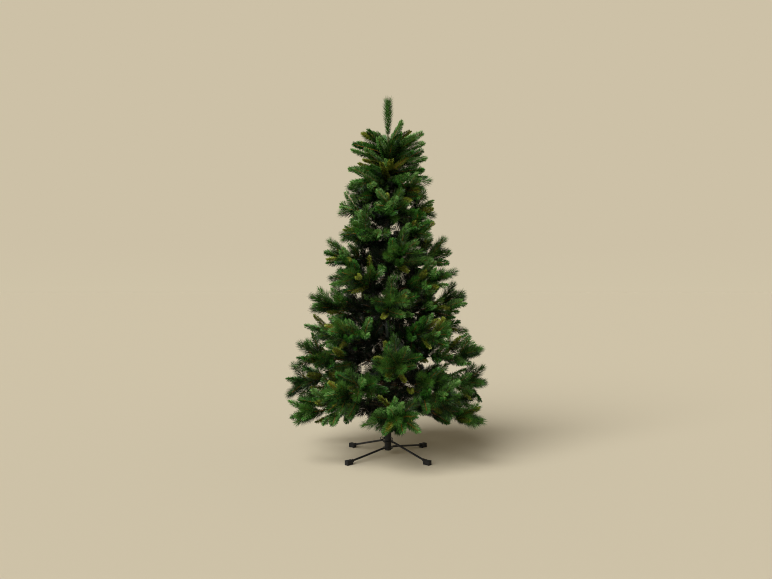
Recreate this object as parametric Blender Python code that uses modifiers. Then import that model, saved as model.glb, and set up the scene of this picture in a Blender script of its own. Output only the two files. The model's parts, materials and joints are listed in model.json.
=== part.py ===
"""Artificial Christmas tree: wired branches of needle sprays on a steel pole, in a folding cross stand.

Metres, +Z up. The origin is on the floor, under the pole's axis. The tree is seen from -Y.
"""

import math
import random

import bmesh
import bpy
import numpy as np
from mathutils import Matrix, Vector

# Whole tree
TREE_HEIGHT = 1.800
CLEARANCE = 0.0003  # between neighbouring solids

# Crown: a cone of needles, rounded off below its widest place
CROWN_FOOT = 0.170
CROWN_WIDEST = 0.290
CROWN_RADIUS = 0.525
SHOULDER_HEIGHT = 1.630
SHOULDER_RADIUS = 0.150
FOOT_TUCK = 0.060  # how much narrower the crown is at its foot

# Pole: two tubes, one pushed into the other, with a collar for each tier of branches
POLE_FOOT = 0.0315
POLE_JOINT = 0.800
POLE_TOP = 1.320
LOWER_TUBE = 0.0125
UPPER_TUBE = 0.0110
COLLAR_RADIUS = 0.0190
COLLAR_HALF = 0.008
POLE_SIDES = 8

# Stand
SOCKET_OUTER = 0.0170
SOCKET_INNER = 0.0136
SOCKET_FOOT = 0.0280
SOCKET_TOP = 0.1250
SOCKET_FLOOR = 0.0030
STAND_SIDES = 16
BAR_RADIUS = 0.0050
BAR_DISC_RADIUS = 0.0270
BAR_DISC_THICK = 0.0040
UPPER_BAR_HEIGHT = 0.0710
LOWER_BAR_HEIGHT = 0.0400
BAR_KNEE = 0.0420  # level run of each arm before it slopes down
FOOT_REACH = 0.2620  # pole axis to the middle of a foot
FOOT_AXIS = 0.0125  # height of the arm's axis in its foot
FOOT_SIZE = (0.036, 0.021, 0.022)
BOLT_HEIGHT = 0.0875
BOLT_RADIUS = 0.0030
BOLT_EYE = 0.0065
BOLT_WIRE = 0.0018
BOLT_EYE_AT = 0.0315
BOLT_BEARINGS = (188, 308, 68)
NUT_RADIUS = 0.0065
NUT_LENGTH = 0.0060

# Tiers of branches, from the foot up: collar height, branches, bearing of the first, rise in degrees
TIERS = (
    (0.262, 6, 270, 2),
    (0.358, 6, 300, 5),
    (0.465, 5, 272, 9),
    (0.582, 5, 236, 12),
    (0.700, 5, 274, 15),
    (0.815, 4, 236, 18),
    (0.930, 4, 280, 21),
    (1.045, 4, 234, 24),
    (1.160, 4, 278, 27),
    (1.270, 4, 234, 31),
)
SEED = 4021
BEARING_SPREAD = 6.0
RISE_SPREAD = 3.0
REACH_SPREAD = 0.04
SAG = 0.20  # drop of a wire for each square metre of its run
BOW = 0.18  # the same, to the side, at most
STEM_PIECES = 3
STEM_ROOT = 0.0042
STEM_TIP = 0.0026

# Sprays: each is a slim core with two whorls of needle tufts standing out of it
SPRAY_END = 0.130  # length of the one that ends a stem
FIRST_SPRAY = (0.075, 0.032)  # from the pole's axis, on the lowest tier and the highest
SPRAY_STEP = (0.0405, 0.0195)  # the same
MIDDLING = 0.130
LONGEST = 0.230
GROWS_INWARD = 0.40  # a twig nearer the pole is longer, by this share of the run left
SPLAY = (56.0, 36.0)  # between stem and twig in degrees, at the stem's root and its end
FLATTEN = (0.85, 1.0)  # of the twigs' spread above and below their stem, lowest and highest tier
ROUND_STEP = 137.5  # each twig sits this much further round its stem
TRIES = 7  # a twig without room is tried again, nearer its stem and shorter
NEARER = 0.88
SHORTER = 0.945
KEEP_OFF = 0.003  # from the middle between two stems
OFF_POLE = 0.0215  # from the pole's axis
PINE, SOFT, MOULDED = "pine", "soft", "moulded"
HALF_WIDTHS = {PINE: 0.037, SOFT: 0.035, MOULDED: 0.031}
WIDENS = 0.18  # by this share of a twig's length over the middling one
# Whorls, root to tip: share of the length, share of the half width
WHORLS = {
    PINE: ((0.36, 0.70), (0.42, 0.35), (0.84, 1.0)),
    SOFT: ((0.38, 1.0), (0.44, 0.45), (0.84, 0.85)),
    MOULDED: ((0.22, 0.85), (0.50, 0.75), (0.84, 0.90)),
}
TUFTS = 3  # in each whorl

# Leader and the ring of sprays under it
LEADER_TOP = TREE_HEIGHT
LEADER_WIRE = 1.700
LEADER_SPRAY = 0.180
LEADER_HALF_WIDTH = 0.031
RING_FOOT = 1.345
RING_TOP = 1.540
RING_COUNT = 20
RING_SPLAY = (57.0, 46.0)  # off the leader, at its foot and its top
RING_LENGTH = (0.185, 0.150)  # the same
RING_BEARING = 205
RING_CORE = 0.7  # share of each that counts as stem when the space is shared out

# Garland wound round the pole's foot
GARLAND_FOOT = 0.134
GARLAND_TURNS = 3
GARLAND_PITCH = 0.034
GARLAND_RADIUS = 0.0198
GARLAND_WIRE = 0.0040
GARLAND_POINTS = 6
GARLAND_SPRAYS = 7
GARLAND_SPRAY = 0.030
GARLAND_HALF_WIDTH = 0.009

MATERIALS = {
    "pole_paint": ((0.012, 0.020, 0.013), 0.45, 0.3),
    "black_paint": ((0.010, 0.010, 0.011), 0.38, 0.4),
    "zinc": ((0.030, 0.030, 0.032), 0.35, 0.9),
    "foot_rubber": ((0.012, 0.012, 0.012), 0.75, 0.0),
    "needles": ((0.028, 0.085, 0.030), 0.55, 0.0),
}


def clear_scene():
    for obj in list(bpy.data.objects):
        bpy.data.objects.remove(obj)


def collection(name):
    made = bpy.data.collections.new(name)
    bpy.context.scene.collection.children.link(made)
    return made


def material(name):
    if name in bpy.data.materials:
        return bpy.data.materials[name]
    colour, roughness, metallic = MATERIALS[name]
    made = bpy.data.materials.new(name)
    made.use_nodes = True
    shader = made.node_tree.nodes["Principled BSDF"]
    shader.inputs["Base Color"].default_value = (*colour, 1.0)
    shader.inputs["Roughness"].default_value = roughness
    shader.inputs["Metallic"].default_value = metallic
    made.diffuse_color = (*colour, 1.0)
    return made


def add_object(name, mesh, where, material_name=None):
    obj = bpy.data.objects.new(name, mesh)
    where.objects.link(obj)
    if material_name:
        mesh.materials.clear()
        mesh.materials.append(material(material_name))
    return obj


def mesh_from(shape, name):
    mesh = bpy.data.meshes.new(name)
    shape.to_mesh(mesh)
    shape.free()
    return mesh


def bearing(degrees):
    """Level unit vector at this bearing, counted from +X towards +Y."""
    angle = math.radians(degrees)
    return Vector((math.cos(angle), math.sin(angle), 0.0))


def frame_along(direction, across, origin):
    """Matrix whose X runs along direction and whose Y is as near to across as it can be."""
    x = direction.normalized()
    z = x.cross(across).normalized()
    y = z.cross(x)
    return Matrix.Translation(origin) @ Matrix((x, y, z)).transposed().to_4x4()


def apply_boolean(obj, operation, cutters):
    """Joins or cuts obj with every object of the collection, and removes them."""
    step = obj.modifiers.new(operation, "BOOLEAN")
    step.operation = operation
    step.operand_type = "COLLECTION"
    step.collection = cutters
    step.solver = "EXACT"
    graph = bpy.context.evaluated_depsgraph_get()
    mesh = bpy.data.meshes.new_from_object(obj.evaluated_get(graph))
    obj.modifiers.clear()
    old, obj.data = obj.data, mesh
    bpy.data.meshes.remove(old)
    for other in list(cutters.objects):
        bpy.data.objects.remove(other)


def smooth(obj, degrees=35):
    obj.data.shade_smooth()
    obj.data.set_sharp_from_angle(angle=math.radians(degrees))


def wire_mesh(name, points, radii, sides_resolution=0):
    """Closed mesh of a bent wire: a poly curve with a round bevel and filled caps."""
    curve = bpy.data.curves.new(name, "CURVE")
    curve.dimensions = "3D"
    curve.bevel_depth = 1.0
    curve.bevel_resolution = sides_resolution
    curve.use_fill_caps = True
    spline = curve.splines.new("POLY")
    spline.points.add(len(points) - 1)
    for spot, place, radius in zip(spline.points, points, radii):
        spot.co = (*place, 1.0)
        spot.radius = radius
    holder = bpy.data.objects.new(name, curve)
    bpy.context.scene.collection.objects.link(holder)
    graph = bpy.context.evaluated_depsgraph_get()
    mesh = bpy.data.meshes.new_from_object(holder.evaluated_get(graph))
    bpy.data.objects.remove(holder)
    bpy.data.curves.remove(curve)
    shape = bmesh.new()
    shape.from_mesh(mesh)
    bmesh.ops.remove_doubles(shape, verts=shape.verts, dist=1e-6)
    bmesh.ops.recalc_face_normals(shape, faces=shape.faces)
    shape.to_mesh(mesh)
    shape.free()
    return mesh


def turned(name, profile, sides, where, material_name):
    """Solid of revolution about +Z. The profile runs from the axis down the outside."""
    mesh = bpy.data.meshes.new(name)
    points = [(radius, 0.0, height) for radius, height in profile]
    mesh.from_pydata(points, [(i, i + 1) for i in range(len(points) - 1)], [])
    obj = add_object(name, mesh, where, material_name)
    spin = obj.modifiers.new("Turn", "SCREW")
    spin.steps = spin.render_steps = sides
    spin.use_merge_vertices = True
    spin.merge_threshold = 1e-5
    spin.use_smooth_shade = False
    return obj


# --- growth rule ------------------------------------------------------------


def crown_radius(height):
    """Reach of the needles at this height."""
    if height < CROWN_WIDEST:
        below = (CROWN_WIDEST - height) / (CROWN_WIDEST - CROWN_FOOT)
        return CROWN_RADIUS - FOOT_TUCK * below**2
    share = (height - CROWN_WIDEST) / (SHOULDER_HEIGHT - CROWN_WIDEST)
    return CROWN_RADIUS + (SHOULDER_RADIUS - CROWN_RADIUS) * share


def stem_line(tier, index):
    """Points of one branch's wire, from its collar to where its last spray starts."""
    height, count, first, rise = TIERS[tier]
    rule = random.Random(SEED + 100 * tier + index)
    out = bearing(first + index * 360 / count + rule.uniform(-1, 1) * BEARING_SPREAD)
    side = Vector((-out.y, out.x, 0.0))
    slope = math.tan(math.radians(rise + rule.uniform(-1, 1) * RISE_SPREAD))
    bow = rule.uniform(-1, 1) * BOW
    run = crown_radius(height) - COLLAR_RADIUS
    tip_height = height + slope * run - SAG * run**2
    reach = crown_radius(tip_height) * (1 + rule.uniform(-0.7, 0.5) * REACH_SPREAD)
    root = COLLAR_RADIUS + CLEARANCE + STEM_ROOT * math.sin(math.atan(slope))
    run = reach - SPRAY_END - root
    points = []
    for step in range(STEM_PIECES + 1):
        along = run * step / STEM_PIECES
        lift = slope * along - SAG * along**2
        points.append(out * (root + along) + side * (bow * along**2) + Vector((0, 0, height + lift)))
    return points


def leader_line():
    foot = POLE_TOP + CLEARANCE
    return [Vector((0, 0, foot + (LEADER_WIRE - foot) * i / STEM_PIECES)) for i in range(STEM_PIECES + 1)]


def spot_on(line, along):
    """Place and direction at this distance along a line of points."""
    for start, end in zip(line, line[1:]):
        piece = (end - start).length
        if along <= piece or end is line[-1]:
            return start + (end - start) * (along / piece), (end - start).normalized()
        along -= piece


def line_length(line):
    return sum((b - a).length for a, b in zip(line, line[1:]))


def whorl_radii(kind, length, half_width):
    """Rings of a spray as (distance from its root, radius, turn); a radius of nothing is a point."""
    rings = [(0.0, 0.0, 0.0)]
    for number, (share, width) in enumerate(WHORLS[kind]):
        rings.append((share * length, width * half_width, number * math.pi / TUFTS))
    return rings + [(length, 0.0, 0.0)]


def half_width(kind, length):
    return HALF_WIDTHS[kind] + WIDENS * (length - MIDDLING)


def ring_corners(along, radius, turn):
    angles = [turn + 2 * math.pi * i / TUFTS for i in range(TUFTS)]
    return [(along, radius * math.cos(a), radius * math.sin(a)) for a in angles]


def spray_frame(place, direction, roll):
    level = Vector((0, 0, 1)).cross(direction)
    if level.length < 1e-3:
        level = Vector((0, 1, 0))
    across = Matrix.Rotation(roll, 3, direction) @ level.normalized()
    return frame_along(direction, across, place)


def spray_points(frame, kind, length):
    """Corners of a spray, and places down its middle."""
    flat = [(share * length, 0.0, 0.0) for share in (0.3, 0.5, 0.75, 1.0)]
    for along, radius, turn in whorl_radii(kind, length, half_width(kind, length)):
        if radius:
            flat += ring_corners(along, radius, turn)
    return [frame @ Vector(corner) for corner in flat]


def gap_to(points, pieces):
    """Distance of each point to each wire piece, as an array."""
    p = np.array([tuple(v) for v in points])[:, None, :]
    a, d = pieces[:, 0][None], (pieces[:, 1] - pieces[:, 0])[None]
    t = np.clip(((p - a) * d).sum(2) / (d * d).sum(2), 0, 1)
    return np.linalg.norm(p - a - t[..., None] * d, axis=2)


def in_own_space(points, owner, pieces, owners):
    """True where every point is nearer to its own wire than to any other and inside the crown."""
    gaps = gap_to(points, pieces)
    own = gaps[:, owners == owner].min(1)
    rest = gaps[:, owners != owner].min(1)
    if (rest - own).min() < 2 * KEEP_OFF:
        return False
    return all(p.z > CROWN_FOOT and p.xy.length < crown_radius(p.z) * 1.02 for p in points)


def by_tier(pair, tier):
    """Value for this tier, between those of the lowest and the highest."""
    low, high = pair
    return low + (high - low) * tier / (len(TIERS) - 1)


def twigs_of(line, tier, owner, pieces, owners):
    """(frame, kind, length) of each spray on one branch, by the seeded rule."""
    rule = random.Random(SEED + 7 * owner)
    total = line_length(line)
    found = []
    turn = rule.uniform(0, 360)
    first = by_tier(FIRST_SPRAY, tier) - line[0].xy.length
    spacing = by_tier(SPRAY_STEP, tier)
    count = max(0, round((total - first) / spacing))
    for number in range(count):
        along = first + number * spacing
        place, ahead = spot_on(line, along)
        level = Vector((0, 0, 1)).cross(ahead).normalized()
        above = ahead.cross(level) * by_tier(FLATTEN, tier)
        turn += ROUND_STEP
        around = level * math.cos(math.radians(turn)) + above * math.sin(math.radians(turn))
        splay = math.radians(SPLAY[0] + (SPLAY[1] - SPLAY[0]) * along / total + rule.uniform(-6, 6))
        roll = rule.uniform(0, math.pi)
        pick = rule.random()
        kind = MOULDED if pick < 0.26 else PINE if pick < 0.38 else SOFT
        length = MIDDLING + GROWS_INWARD * max(0.0, total - along)
        length = min(LONGEST, length) * rule.uniform(0.92, 1.08)
        for _ in range(TRIES):
            direction = ahead * math.cos(splay) + around.normalized() * math.sin(splay)
            frame = spray_frame(place, direction, roll)
            if in_own_space(spray_points(frame, kind, length), owner, pieces, owners):
                found.append((frame, kind, length))
                break
            splay *= NEARER
            length *= SHORTER
    place, ahead = spot_on(line, total)
    kind = PINE if rule.random() < 0.5 else SOFT
    root = place - ahead * 0.012
    found.append((spray_frame(root, ahead, rule.uniform(0, math.pi)), kind, SPRAY_END + 0.012))
    return found


def twigs_of_leader():
    """The ring of sprays under the leader's own."""
    found = []
    up = Vector((0, 0, 1))
    rule = random.Random(SEED - 1)
    for number in range(RING_COUNT):
        share = number / (RING_COUNT - 1)
        height = RING_FOOT + (RING_TOP - RING_FOOT) * share
        out = bearing(RING_BEARING + number * ROUND_STEP)
        splay = math.radians(RING_SPLAY[0] + (RING_SPLAY[1] - RING_SPLAY[0]) * share)
        length = RING_LENGTH[0] + (RING_LENGTH[1] - RING_LENGTH[0]) * share
        direction = up * math.cos(splay) + out * math.sin(splay)
        kind = (SOFT, MOULDED, SOFT, PINE)[number % 4]
        frame = spray_frame(Vector((0, 0, height)), direction, rule.uniform(0, math.pi))
        found.append((frame, kind, length * rule.uniform(0.94, 1.05)))
    return found


# --- foliage ----------------------------------------------------------------


def spray_mesh(kind, length, half_width):
    """Closed mesh of one spray along +X: rings of corners between a pointed root and tip."""
    corners, rings = [], []
    for along, radius, turn in whorl_radii(kind, length, half_width):
        ring = ring_corners(along, radius, turn) if radius else [(along, 0.0, 0.0)]
        rings.append([len(corners) + i % len(ring) for i in range(TUFTS + 1)])
        corners += ring
    faces = []
    for near, far in zip(rings, rings[1:]):
        for i in range(TUFTS):
            faces.append((near[i], near[i + 1], far[i]))
            faces.append((near[i + 1], far[i + 1], far[i]))
    mesh = bpy.data.meshes.new(f"{kind}_spray")
    mesh.from_pydata(corners, [], [f for f in faces if len(set(f)) == 3])
    return mesh


def foliage_mass(name, stem, sprays, where, joiners):
    """One stem with its sprays joined into a single solid."""
    obj = add_object(name, stem, where, "needles")
    for number, (frame, kind, length, half_width) in enumerate(sprays):
        spray = add_object(f"{name}_spray_{number}", spray_mesh(kind, length, half_width), joiners)
        spray.matrix_world = frame
    apply_boolean(obj, "UNION", joiners)
    return obj


def tapered(count):
    return [STEM_ROOT + (STEM_TIP - STEM_ROOT) * i / (count - 1) for i in range(count)]


def with_widths(sprays):
    return [(frame, kind, length, half_width(kind, length)) for frame, kind, length in sprays]


def build_crown(where, joiners):
    lines, tiers = {}, {}
    for tier, (_, count, _, _) in enumerate(TIERS):
        for index in range(count):
            name = f"tier_{tier + 1:02d}_branch_{index + 1}"
            lines[name], tiers[name] = stem_line(tier, index), tier
    lines["crown_top"] = leader_line()
    ring = twigs_of_leader()
    pieces, owners = [], []
    for owner, line in enumerate(lines.values()):
        pieces += [(tuple(start), tuple(end)) for start, end in zip(line, line[1:])]
        owners += [owner] * (len(line) - 1)
    for frame, _, length in ring:
        pieces.append((tuple(frame.translation), tuple(frame @ Vector((RING_CORE * length, 0, 0)))))
        owners.append(owner)
    pieces, owners = np.array(pieces), np.array(owners)
    for owner, (name, line) in enumerate(lines.items()):
        if name in tiers:
            sprays = with_widths(twigs_of(line, tiers[name], owner, pieces, owners))
        else:
            ring = [s for s in ring if in_own_space(spray_points(*s), owner, pieces, owners)]
            sprays = with_widths(ring)
            root = Vector((0, 0, LEADER_TOP - LEADER_SPRAY))
            frame = spray_frame(root, Vector((0, 0, 1)), 0.0)
            sprays.append((frame, SOFT, LEADER_SPRAY, LEADER_HALF_WIDTH))
        foliage_mass(name, wire_mesh(name, line, tapered(len(line))), sprays, where, joiners)


def build_garland(where, joiners):
    """Short-needled garland wound round the pole above the socket."""
    count = GARLAND_TURNS * GARLAND_POINTS
    points, sprays = [], []
    for step in range(count + 1):
        angle = 360 * step / GARLAND_POINTS
        rise = GARLAND_FOOT + GARLAND_PITCH * step / GARLAND_POINTS
        points.append(bearing(angle) * GARLAND_RADIUS + Vector((0, 0, rise)))
    for number in range(GARLAND_SPRAYS):
        spot = points[2 + number * (count - 4) // (GARLAND_SPRAYS - 1)]
        out = Vector((spot.x, spot.y, 0.004 * (-1) ** number)).normalized()
        direction = (out + Vector((-out.y, out.x, 0.4))).normalized()
        sprays.append((spray_frame(spot, direction, 0.3), SOFT, GARLAND_SPRAY, GARLAND_HALF_WIDTH))
    wire = wire_mesh("foot_garland", points, [GARLAND_WIRE] * len(points))
    foliage_mass("foot_garland", wire, sprays, where, joiners)


# --- pole and stand -----------------------------------------------------------


def build_pole(where):
    profile = [(0.0, POLE_TOP), (UPPER_TUBE - 0.002, POLE_TOP)]
    tube, joined = UPPER_TUBE, False
    profile.append((tube, POLE_TOP - 0.002))
    for height, *_ in reversed(TIERS):
        if height < POLE_JOINT and not joined:
            profile += [(UPPER_TUBE, POLE_JOINT), (LOWER_TUBE, POLE_JOINT)]
            tube, joined = LOWER_TUBE, True
        top, bottom = height + COLLAR_HALF, height - COLLAR_HALF
        profile += [(tube, top), (COLLAR_RADIUS, top), (COLLAR_RADIUS, bottom), (tube, bottom)]
    profile += [(LOWER_TUBE, POLE_FOOT), (0.0, POLE_FOOT)]
    smooth(turned("pole", profile, POLE_SIDES, where, "pole_paint"))


def cylinder(name, start, end, radius, sides, where):
    """Closed cylinder between two places."""
    shape = bmesh.new()
    axis = end - start
    bmesh.ops.create_cone(
        shape,
        cap_ends=True,
        segments=sides,
        radius1=radius,
        radius2=radius,
        depth=axis.length,
        matrix=Matrix.Translation((start + end) / 2) @ axis.to_track_quat("Z", "Y").to_matrix().to_4x4(),
    )
    return add_object(name, mesh_from(shape, name), where)


def hole_radius(radius, sides):
    """Radius of a hole's corners that leaves the clearance round a bar of this radius."""
    return (radius + CLEARANCE) / math.cos(math.pi / sides)


def build_socket(where, joiners):
    """Cup that the pole stands in, with a nut on it for each bolt."""
    floor = SOCKET_FOOT + SOCKET_FLOOR
    profile = [
        (0.0, floor),
        (SOCKET_INNER, floor),
        (SOCKET_INNER, SOCKET_TOP),
        (SOCKET_OUTER, SOCKET_TOP),
        (SOCKET_OUTER, SOCKET_FOOT),
        (0.0, SOCKET_FOOT),
    ]
    socket = turned("stand_socket", profile, STAND_SIDES, where, "black_paint")
    graph = bpy.context.evaluated_depsgraph_get()
    mesh = bpy.data.meshes.new_from_object(socket.evaluated_get(graph))
    socket.modifiers.clear()
    socket.data = mesh
    level = Vector((0, 0, BOLT_HEIGHT))
    for number, degrees in enumerate(BOLT_BEARINGS):
        out = bearing(degrees)
        start = level + out * (SOCKET_OUTER - 0.0015)
        end = level + out * (SOCKET_OUTER + NUT_LENGTH)
        cylinder(f"nut_{number}", start, end, NUT_RADIUS, 6, joiners)
    apply_boolean(socket, "UNION", joiners)
    for number, degrees in enumerate(BOLT_BEARINGS):
        out = bearing(degrees)
        start, end = level + out * 0.004, level + out * 0.05
        cylinder(f"hole_{number}", start, end, hole_radius(BOLT_RADIUS, 8), 8, joiners)
    apply_boolean(socket, "DIFFERENCE", joiners)
    smooth(socket)


def build_bolts(where, joiners):
    """Eye bolts that clamp the pole in its socket."""
    level = Vector((0, 0, BOLT_HEIGHT))
    for number, degrees in enumerate(BOLT_BEARINGS):
        out = bearing(degrees)
        name = f"eye_bolt_{number + 1}"
        start = level + out * (LOWER_TUBE + 2 * CLEARANCE)
        end = level + out * (BOLT_EYE_AT - BOLT_EYE + 0.0005)
        bolt = cylinder(name, start, end, BOLT_RADIUS, 8, where)
        bolt.data.materials.append(material("zinc"))
        bpy.ops.mesh.primitive_torus_add(
            major_segments=8,
            minor_segments=4,
            major_radius=BOLT_EYE,
            minor_radius=BOLT_WIRE,
            location=level + out * BOLT_EYE_AT,
            rotation=(math.pi / 2, 0, math.radians(degrees)),
        )
        eye = bpy.context.object
        for holder in list(eye.users_collection):
            holder.objects.unlink(eye)
        joiners.objects.link(eye)
        apply_boolean(bolt, "UNION", joiners)
        smooth(bolt)


def arm_line(out, height):
    """Axis of one arm, from its disc to its foot."""
    knee = out * BAR_KNEE + Vector((0, 0, height))
    foot = out * FOOT_REACH + Vector((0, 0, FOOT_AXIS))
    start = out * (SOCKET_OUTER + 0.0045) + Vector((0, 0, height))
    return [start, knee, foot]


def build_bar(name, height, degrees, where, joiners):
    """Two arms on a disc that the socket passes through."""
    half = Vector((0, 0, BAR_DISC_THICK / 2))
    level = Vector((0, 0, height))
    disc = cylinder(name, level - half, level + half, BAR_DISC_RADIUS, STAND_SIDES, where)
    disc.data.materials.append(material("black_paint"))
    for number in (0, 1):
        line = arm_line(bearing(degrees + 180 * number), height)
        arm = wire_mesh(f"arm_{number}", line, [BAR_RADIUS] * 3, 1)
        add_object(f"{name}_arm_{number}", arm, joiners)
    apply_boolean(disc, "UNION", joiners)
    hole = hole_radius(SOCKET_OUTER, STAND_SIDES)
    cylinder(f"{name}_hole", level - half * 4, level + half * 4, hole, STAND_SIDES, joiners)
    apply_boolean(disc, "DIFFERENCE", joiners)
    smooth(disc)


def build_foot(name, height, degrees, where, joiners):
    """Rubber shoe on the end of an arm, flat underneath."""
    out = bearing(degrees)
    length, width, tall = FOOT_SIZE
    shape = bmesh.new()
    bmesh.ops.create_cube(shape, size=1.0, matrix=Matrix.Diagonal((length, width, tall, 1.0)))
    bmesh.ops.bevel(
        shape,
        geom=[e for e in shape.edges if max(v.co.z for v in e.verts) > 0],
        offset=0.005,
        segments=2,
        profile=0.5,
        affect="EDGES",
    )
    foot = add_object(name, mesh_from(shape, name), where, "foot_rubber")
    turn = Matrix.Rotation(math.radians(degrees), 4, "Z")
    foot.matrix_world = Matrix.Translation(out * FOOT_REACH + Vector((0, 0, tall / 2))) @ turn
    _, knee, end = arm_line(out, height)
    along = (end - knee).normalized()
    start = end - along * 0.04
    end += along * CLEARANCE
    cylinder(f"{name}_bore", start, end, hole_radius(BAR_RADIUS, 8), 8, joiners)
    bpy.context.view_layer.update()
    apply_boolean(foot, "DIFFERENCE", joiners)


def build_stand(where, joiners):
    build_socket(where, joiners)
    build_bolts(where, joiners)
    bars = (("upper", UPPER_BAR_HEIGHT, 135), ("lower", LOWER_BAR_HEIGHT, 225))
    for level, height, degrees in bars:
        build_bar(f"stand_{level}_bar", height, degrees, where, joiners)
        for number in (0, 1):
            name = f"foot_{level}_{number + 1}"
            build_foot(name, height, degrees + 180 * number, where, joiners)


def main():
    clear_scene()
    tree = collection("christmas_tree")
    joiners = collection("joiners")
    build_pole(tree)
    build_stand(tree, joiners)
    build_garland(tree, joiners)
    build_crown(tree, joiners)


main()
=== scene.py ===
"""Looks of an undecorated artificial Christmas tree in a crossed steel stand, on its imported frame."""

import json
import math
import random

import bpy
import numpy as np
from mathutils import Matrix, Vector

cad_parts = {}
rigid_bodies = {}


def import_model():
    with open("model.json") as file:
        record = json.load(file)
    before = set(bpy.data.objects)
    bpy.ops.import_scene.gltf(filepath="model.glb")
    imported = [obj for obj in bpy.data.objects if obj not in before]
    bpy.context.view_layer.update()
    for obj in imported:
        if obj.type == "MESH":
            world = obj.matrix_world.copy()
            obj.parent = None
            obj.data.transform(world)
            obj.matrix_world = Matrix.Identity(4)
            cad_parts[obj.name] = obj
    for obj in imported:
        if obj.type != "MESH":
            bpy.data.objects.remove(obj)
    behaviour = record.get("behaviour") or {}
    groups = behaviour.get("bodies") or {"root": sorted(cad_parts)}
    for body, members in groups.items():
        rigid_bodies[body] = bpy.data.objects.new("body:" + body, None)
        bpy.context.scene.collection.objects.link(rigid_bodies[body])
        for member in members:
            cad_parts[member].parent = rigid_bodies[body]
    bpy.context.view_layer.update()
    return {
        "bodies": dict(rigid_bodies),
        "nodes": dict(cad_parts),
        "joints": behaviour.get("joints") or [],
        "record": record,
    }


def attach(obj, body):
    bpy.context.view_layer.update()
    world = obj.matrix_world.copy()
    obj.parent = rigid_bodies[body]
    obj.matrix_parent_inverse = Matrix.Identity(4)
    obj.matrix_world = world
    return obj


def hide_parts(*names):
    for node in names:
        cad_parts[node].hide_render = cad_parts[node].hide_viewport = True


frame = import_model()


# --- Stand socket ------------------------------------------------------------------
# A drawn steel cup that the pole drops into, with a rolled rim and three nuts welded to
# it for the eye bolts. It is sprayed satin black after welding.

SOCKET_SIDES = 40
SOCKET_OUTLINE = (  # radius and height, from under its floor, up outside, over the rim, down inside
    (0.0155, 0.0280), (0.0170, 0.0292), (0.0170, 0.1180), (0.0174, 0.1195), (0.0181, 0.1205),
    (0.0183, 0.1225), (0.0180, 0.1243), (0.0172, 0.1250), (0.0150, 0.1250), (0.0140, 0.1246),
    (0.0136, 0.1236), (0.0136, 0.0318), (0.0128, 0.0310),
)
BOLT_HEIGHT, BOLT_BEARINGS = 0.0875, (188, 308, 68)
NUT_RADIUS, NUT_FOOT, NUT_FACE, NUT_CHAMFER = 0.0065, 0.0160, 0.0230, 0.0006
NUT_RIM, NUT_DISH = 0.0022, 0.0009
WELD_AT, WELD_RADIUS, WELD_BEAD, WELD_ROUGHNESS = 0.0172, 0.0063, 0.0011, 0.00025
PAINT_SPECULAR, MOTTLE_DETAIL, MOTTLE_ENDS, PAINT_GLOSS_ENDS = 0.3, 6.0, (0.35, 0.72), (0.3, 0.7)
PEEL = (1100.0, 2.0)  # scale and detail of the orange-peel skin
MERGE = 0.00001
SEED = 4021


def start_piece(name, add, **how):
    """A new primitive, with its place put into its mesh, and all of it selected in edit mode."""
    bpy.ops.object.select_all(action="DESELECT")
    add(**how)
    piece = bpy.context.object
    piece.name = piece.data.name = name
    bpy.ops.object.transform_apply(location=True, rotation=True, scale=True)
    bpy.ops.object.mode_set(mode="EDIT")
    bpy.ops.mesh.select_all(action="SELECT")
    return piece


def finish_piece(piece, degrees=35):
    """The piece merged, turned right side out and smooth up to an angle between its faces."""
    bpy.ops.object.mode_set(mode="EDIT")
    bpy.ops.mesh.select_all(action="SELECT")
    bpy.ops.mesh.remove_doubles(threshold=MERGE)
    bpy.ops.mesh.normals_make_consistent(inside=False)
    bpy.ops.object.mode_set(mode="OBJECT")
    bpy.ops.object.shade_smooth_by_angle(angle=math.radians(degrees))
    return piece


def drawn_out(name, outline, sides, ring=False):
    """A round piece about the pole's axis, drawn out step by step from its first circle."""
    radius, height = outline[0]
    fill = "NOTHING" if ring else "NGON"
    piece = start_piece(
        name, bpy.ops.mesh.primitive_circle_add, vertices=sides, radius=radius, fill_type=fill,
        location=(0, 0, height))
    draw = bpy.ops.mesh.extrude_edges_move if ring else bpy.ops.mesh.extrude_region_move
    for wider, higher in outline[1:]:
        grown = wider / radius
        draw(TRANSFORM_OT_translate={"value": (0, 0, higher - height)})
        bpy.ops.transform.resize(value=(grown, grown, 1), center_override=(0, 0, higher))
        radius, height = wider, higher
    return finish_piece(piece)


def placed(piece, where):
    """The piece set to a place, with the place put into its mesh."""
    bpy.ops.object.select_all(action="DESELECT")
    piece.select_set(True)
    bpy.context.view_layer.objects.active = piece
    piece.matrix_world = where
    bpy.ops.object.transform_apply(location=True, rotation=True, scale=True)
    return piece


def copied(piece, name, where):
    """A copy of a piece, with a mesh of its own."""
    twin = piece.copy()
    twin.data = piece.data.copy()
    twin.name = twin.data.name = name
    bpy.context.scene.collection.objects.link(twin)
    return placed(twin, where)


def turned_copy(piece, name, degrees):
    """A copy of a piece, turned about the pole's axis."""
    return copied(piece, name, Matrix.Rotation(math.radians(degrees), 4, "Z"))


def joined(name, pieces, finish=None):
    """The pieces as one, all in one finish where it is given."""
    bpy.ops.object.select_all(action="DESELECT")
    for piece in pieces:
        piece.select_set(True)
    bpy.context.view_layer.objects.active = pieces[0]
    bpy.ops.object.join()
    pieces[0].name = pieces[0].data.name = name
    if finish:
        pieces[0].data.materials.clear()
        pieces[0].data.materials.append(finish)
    return pieces[0]


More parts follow.
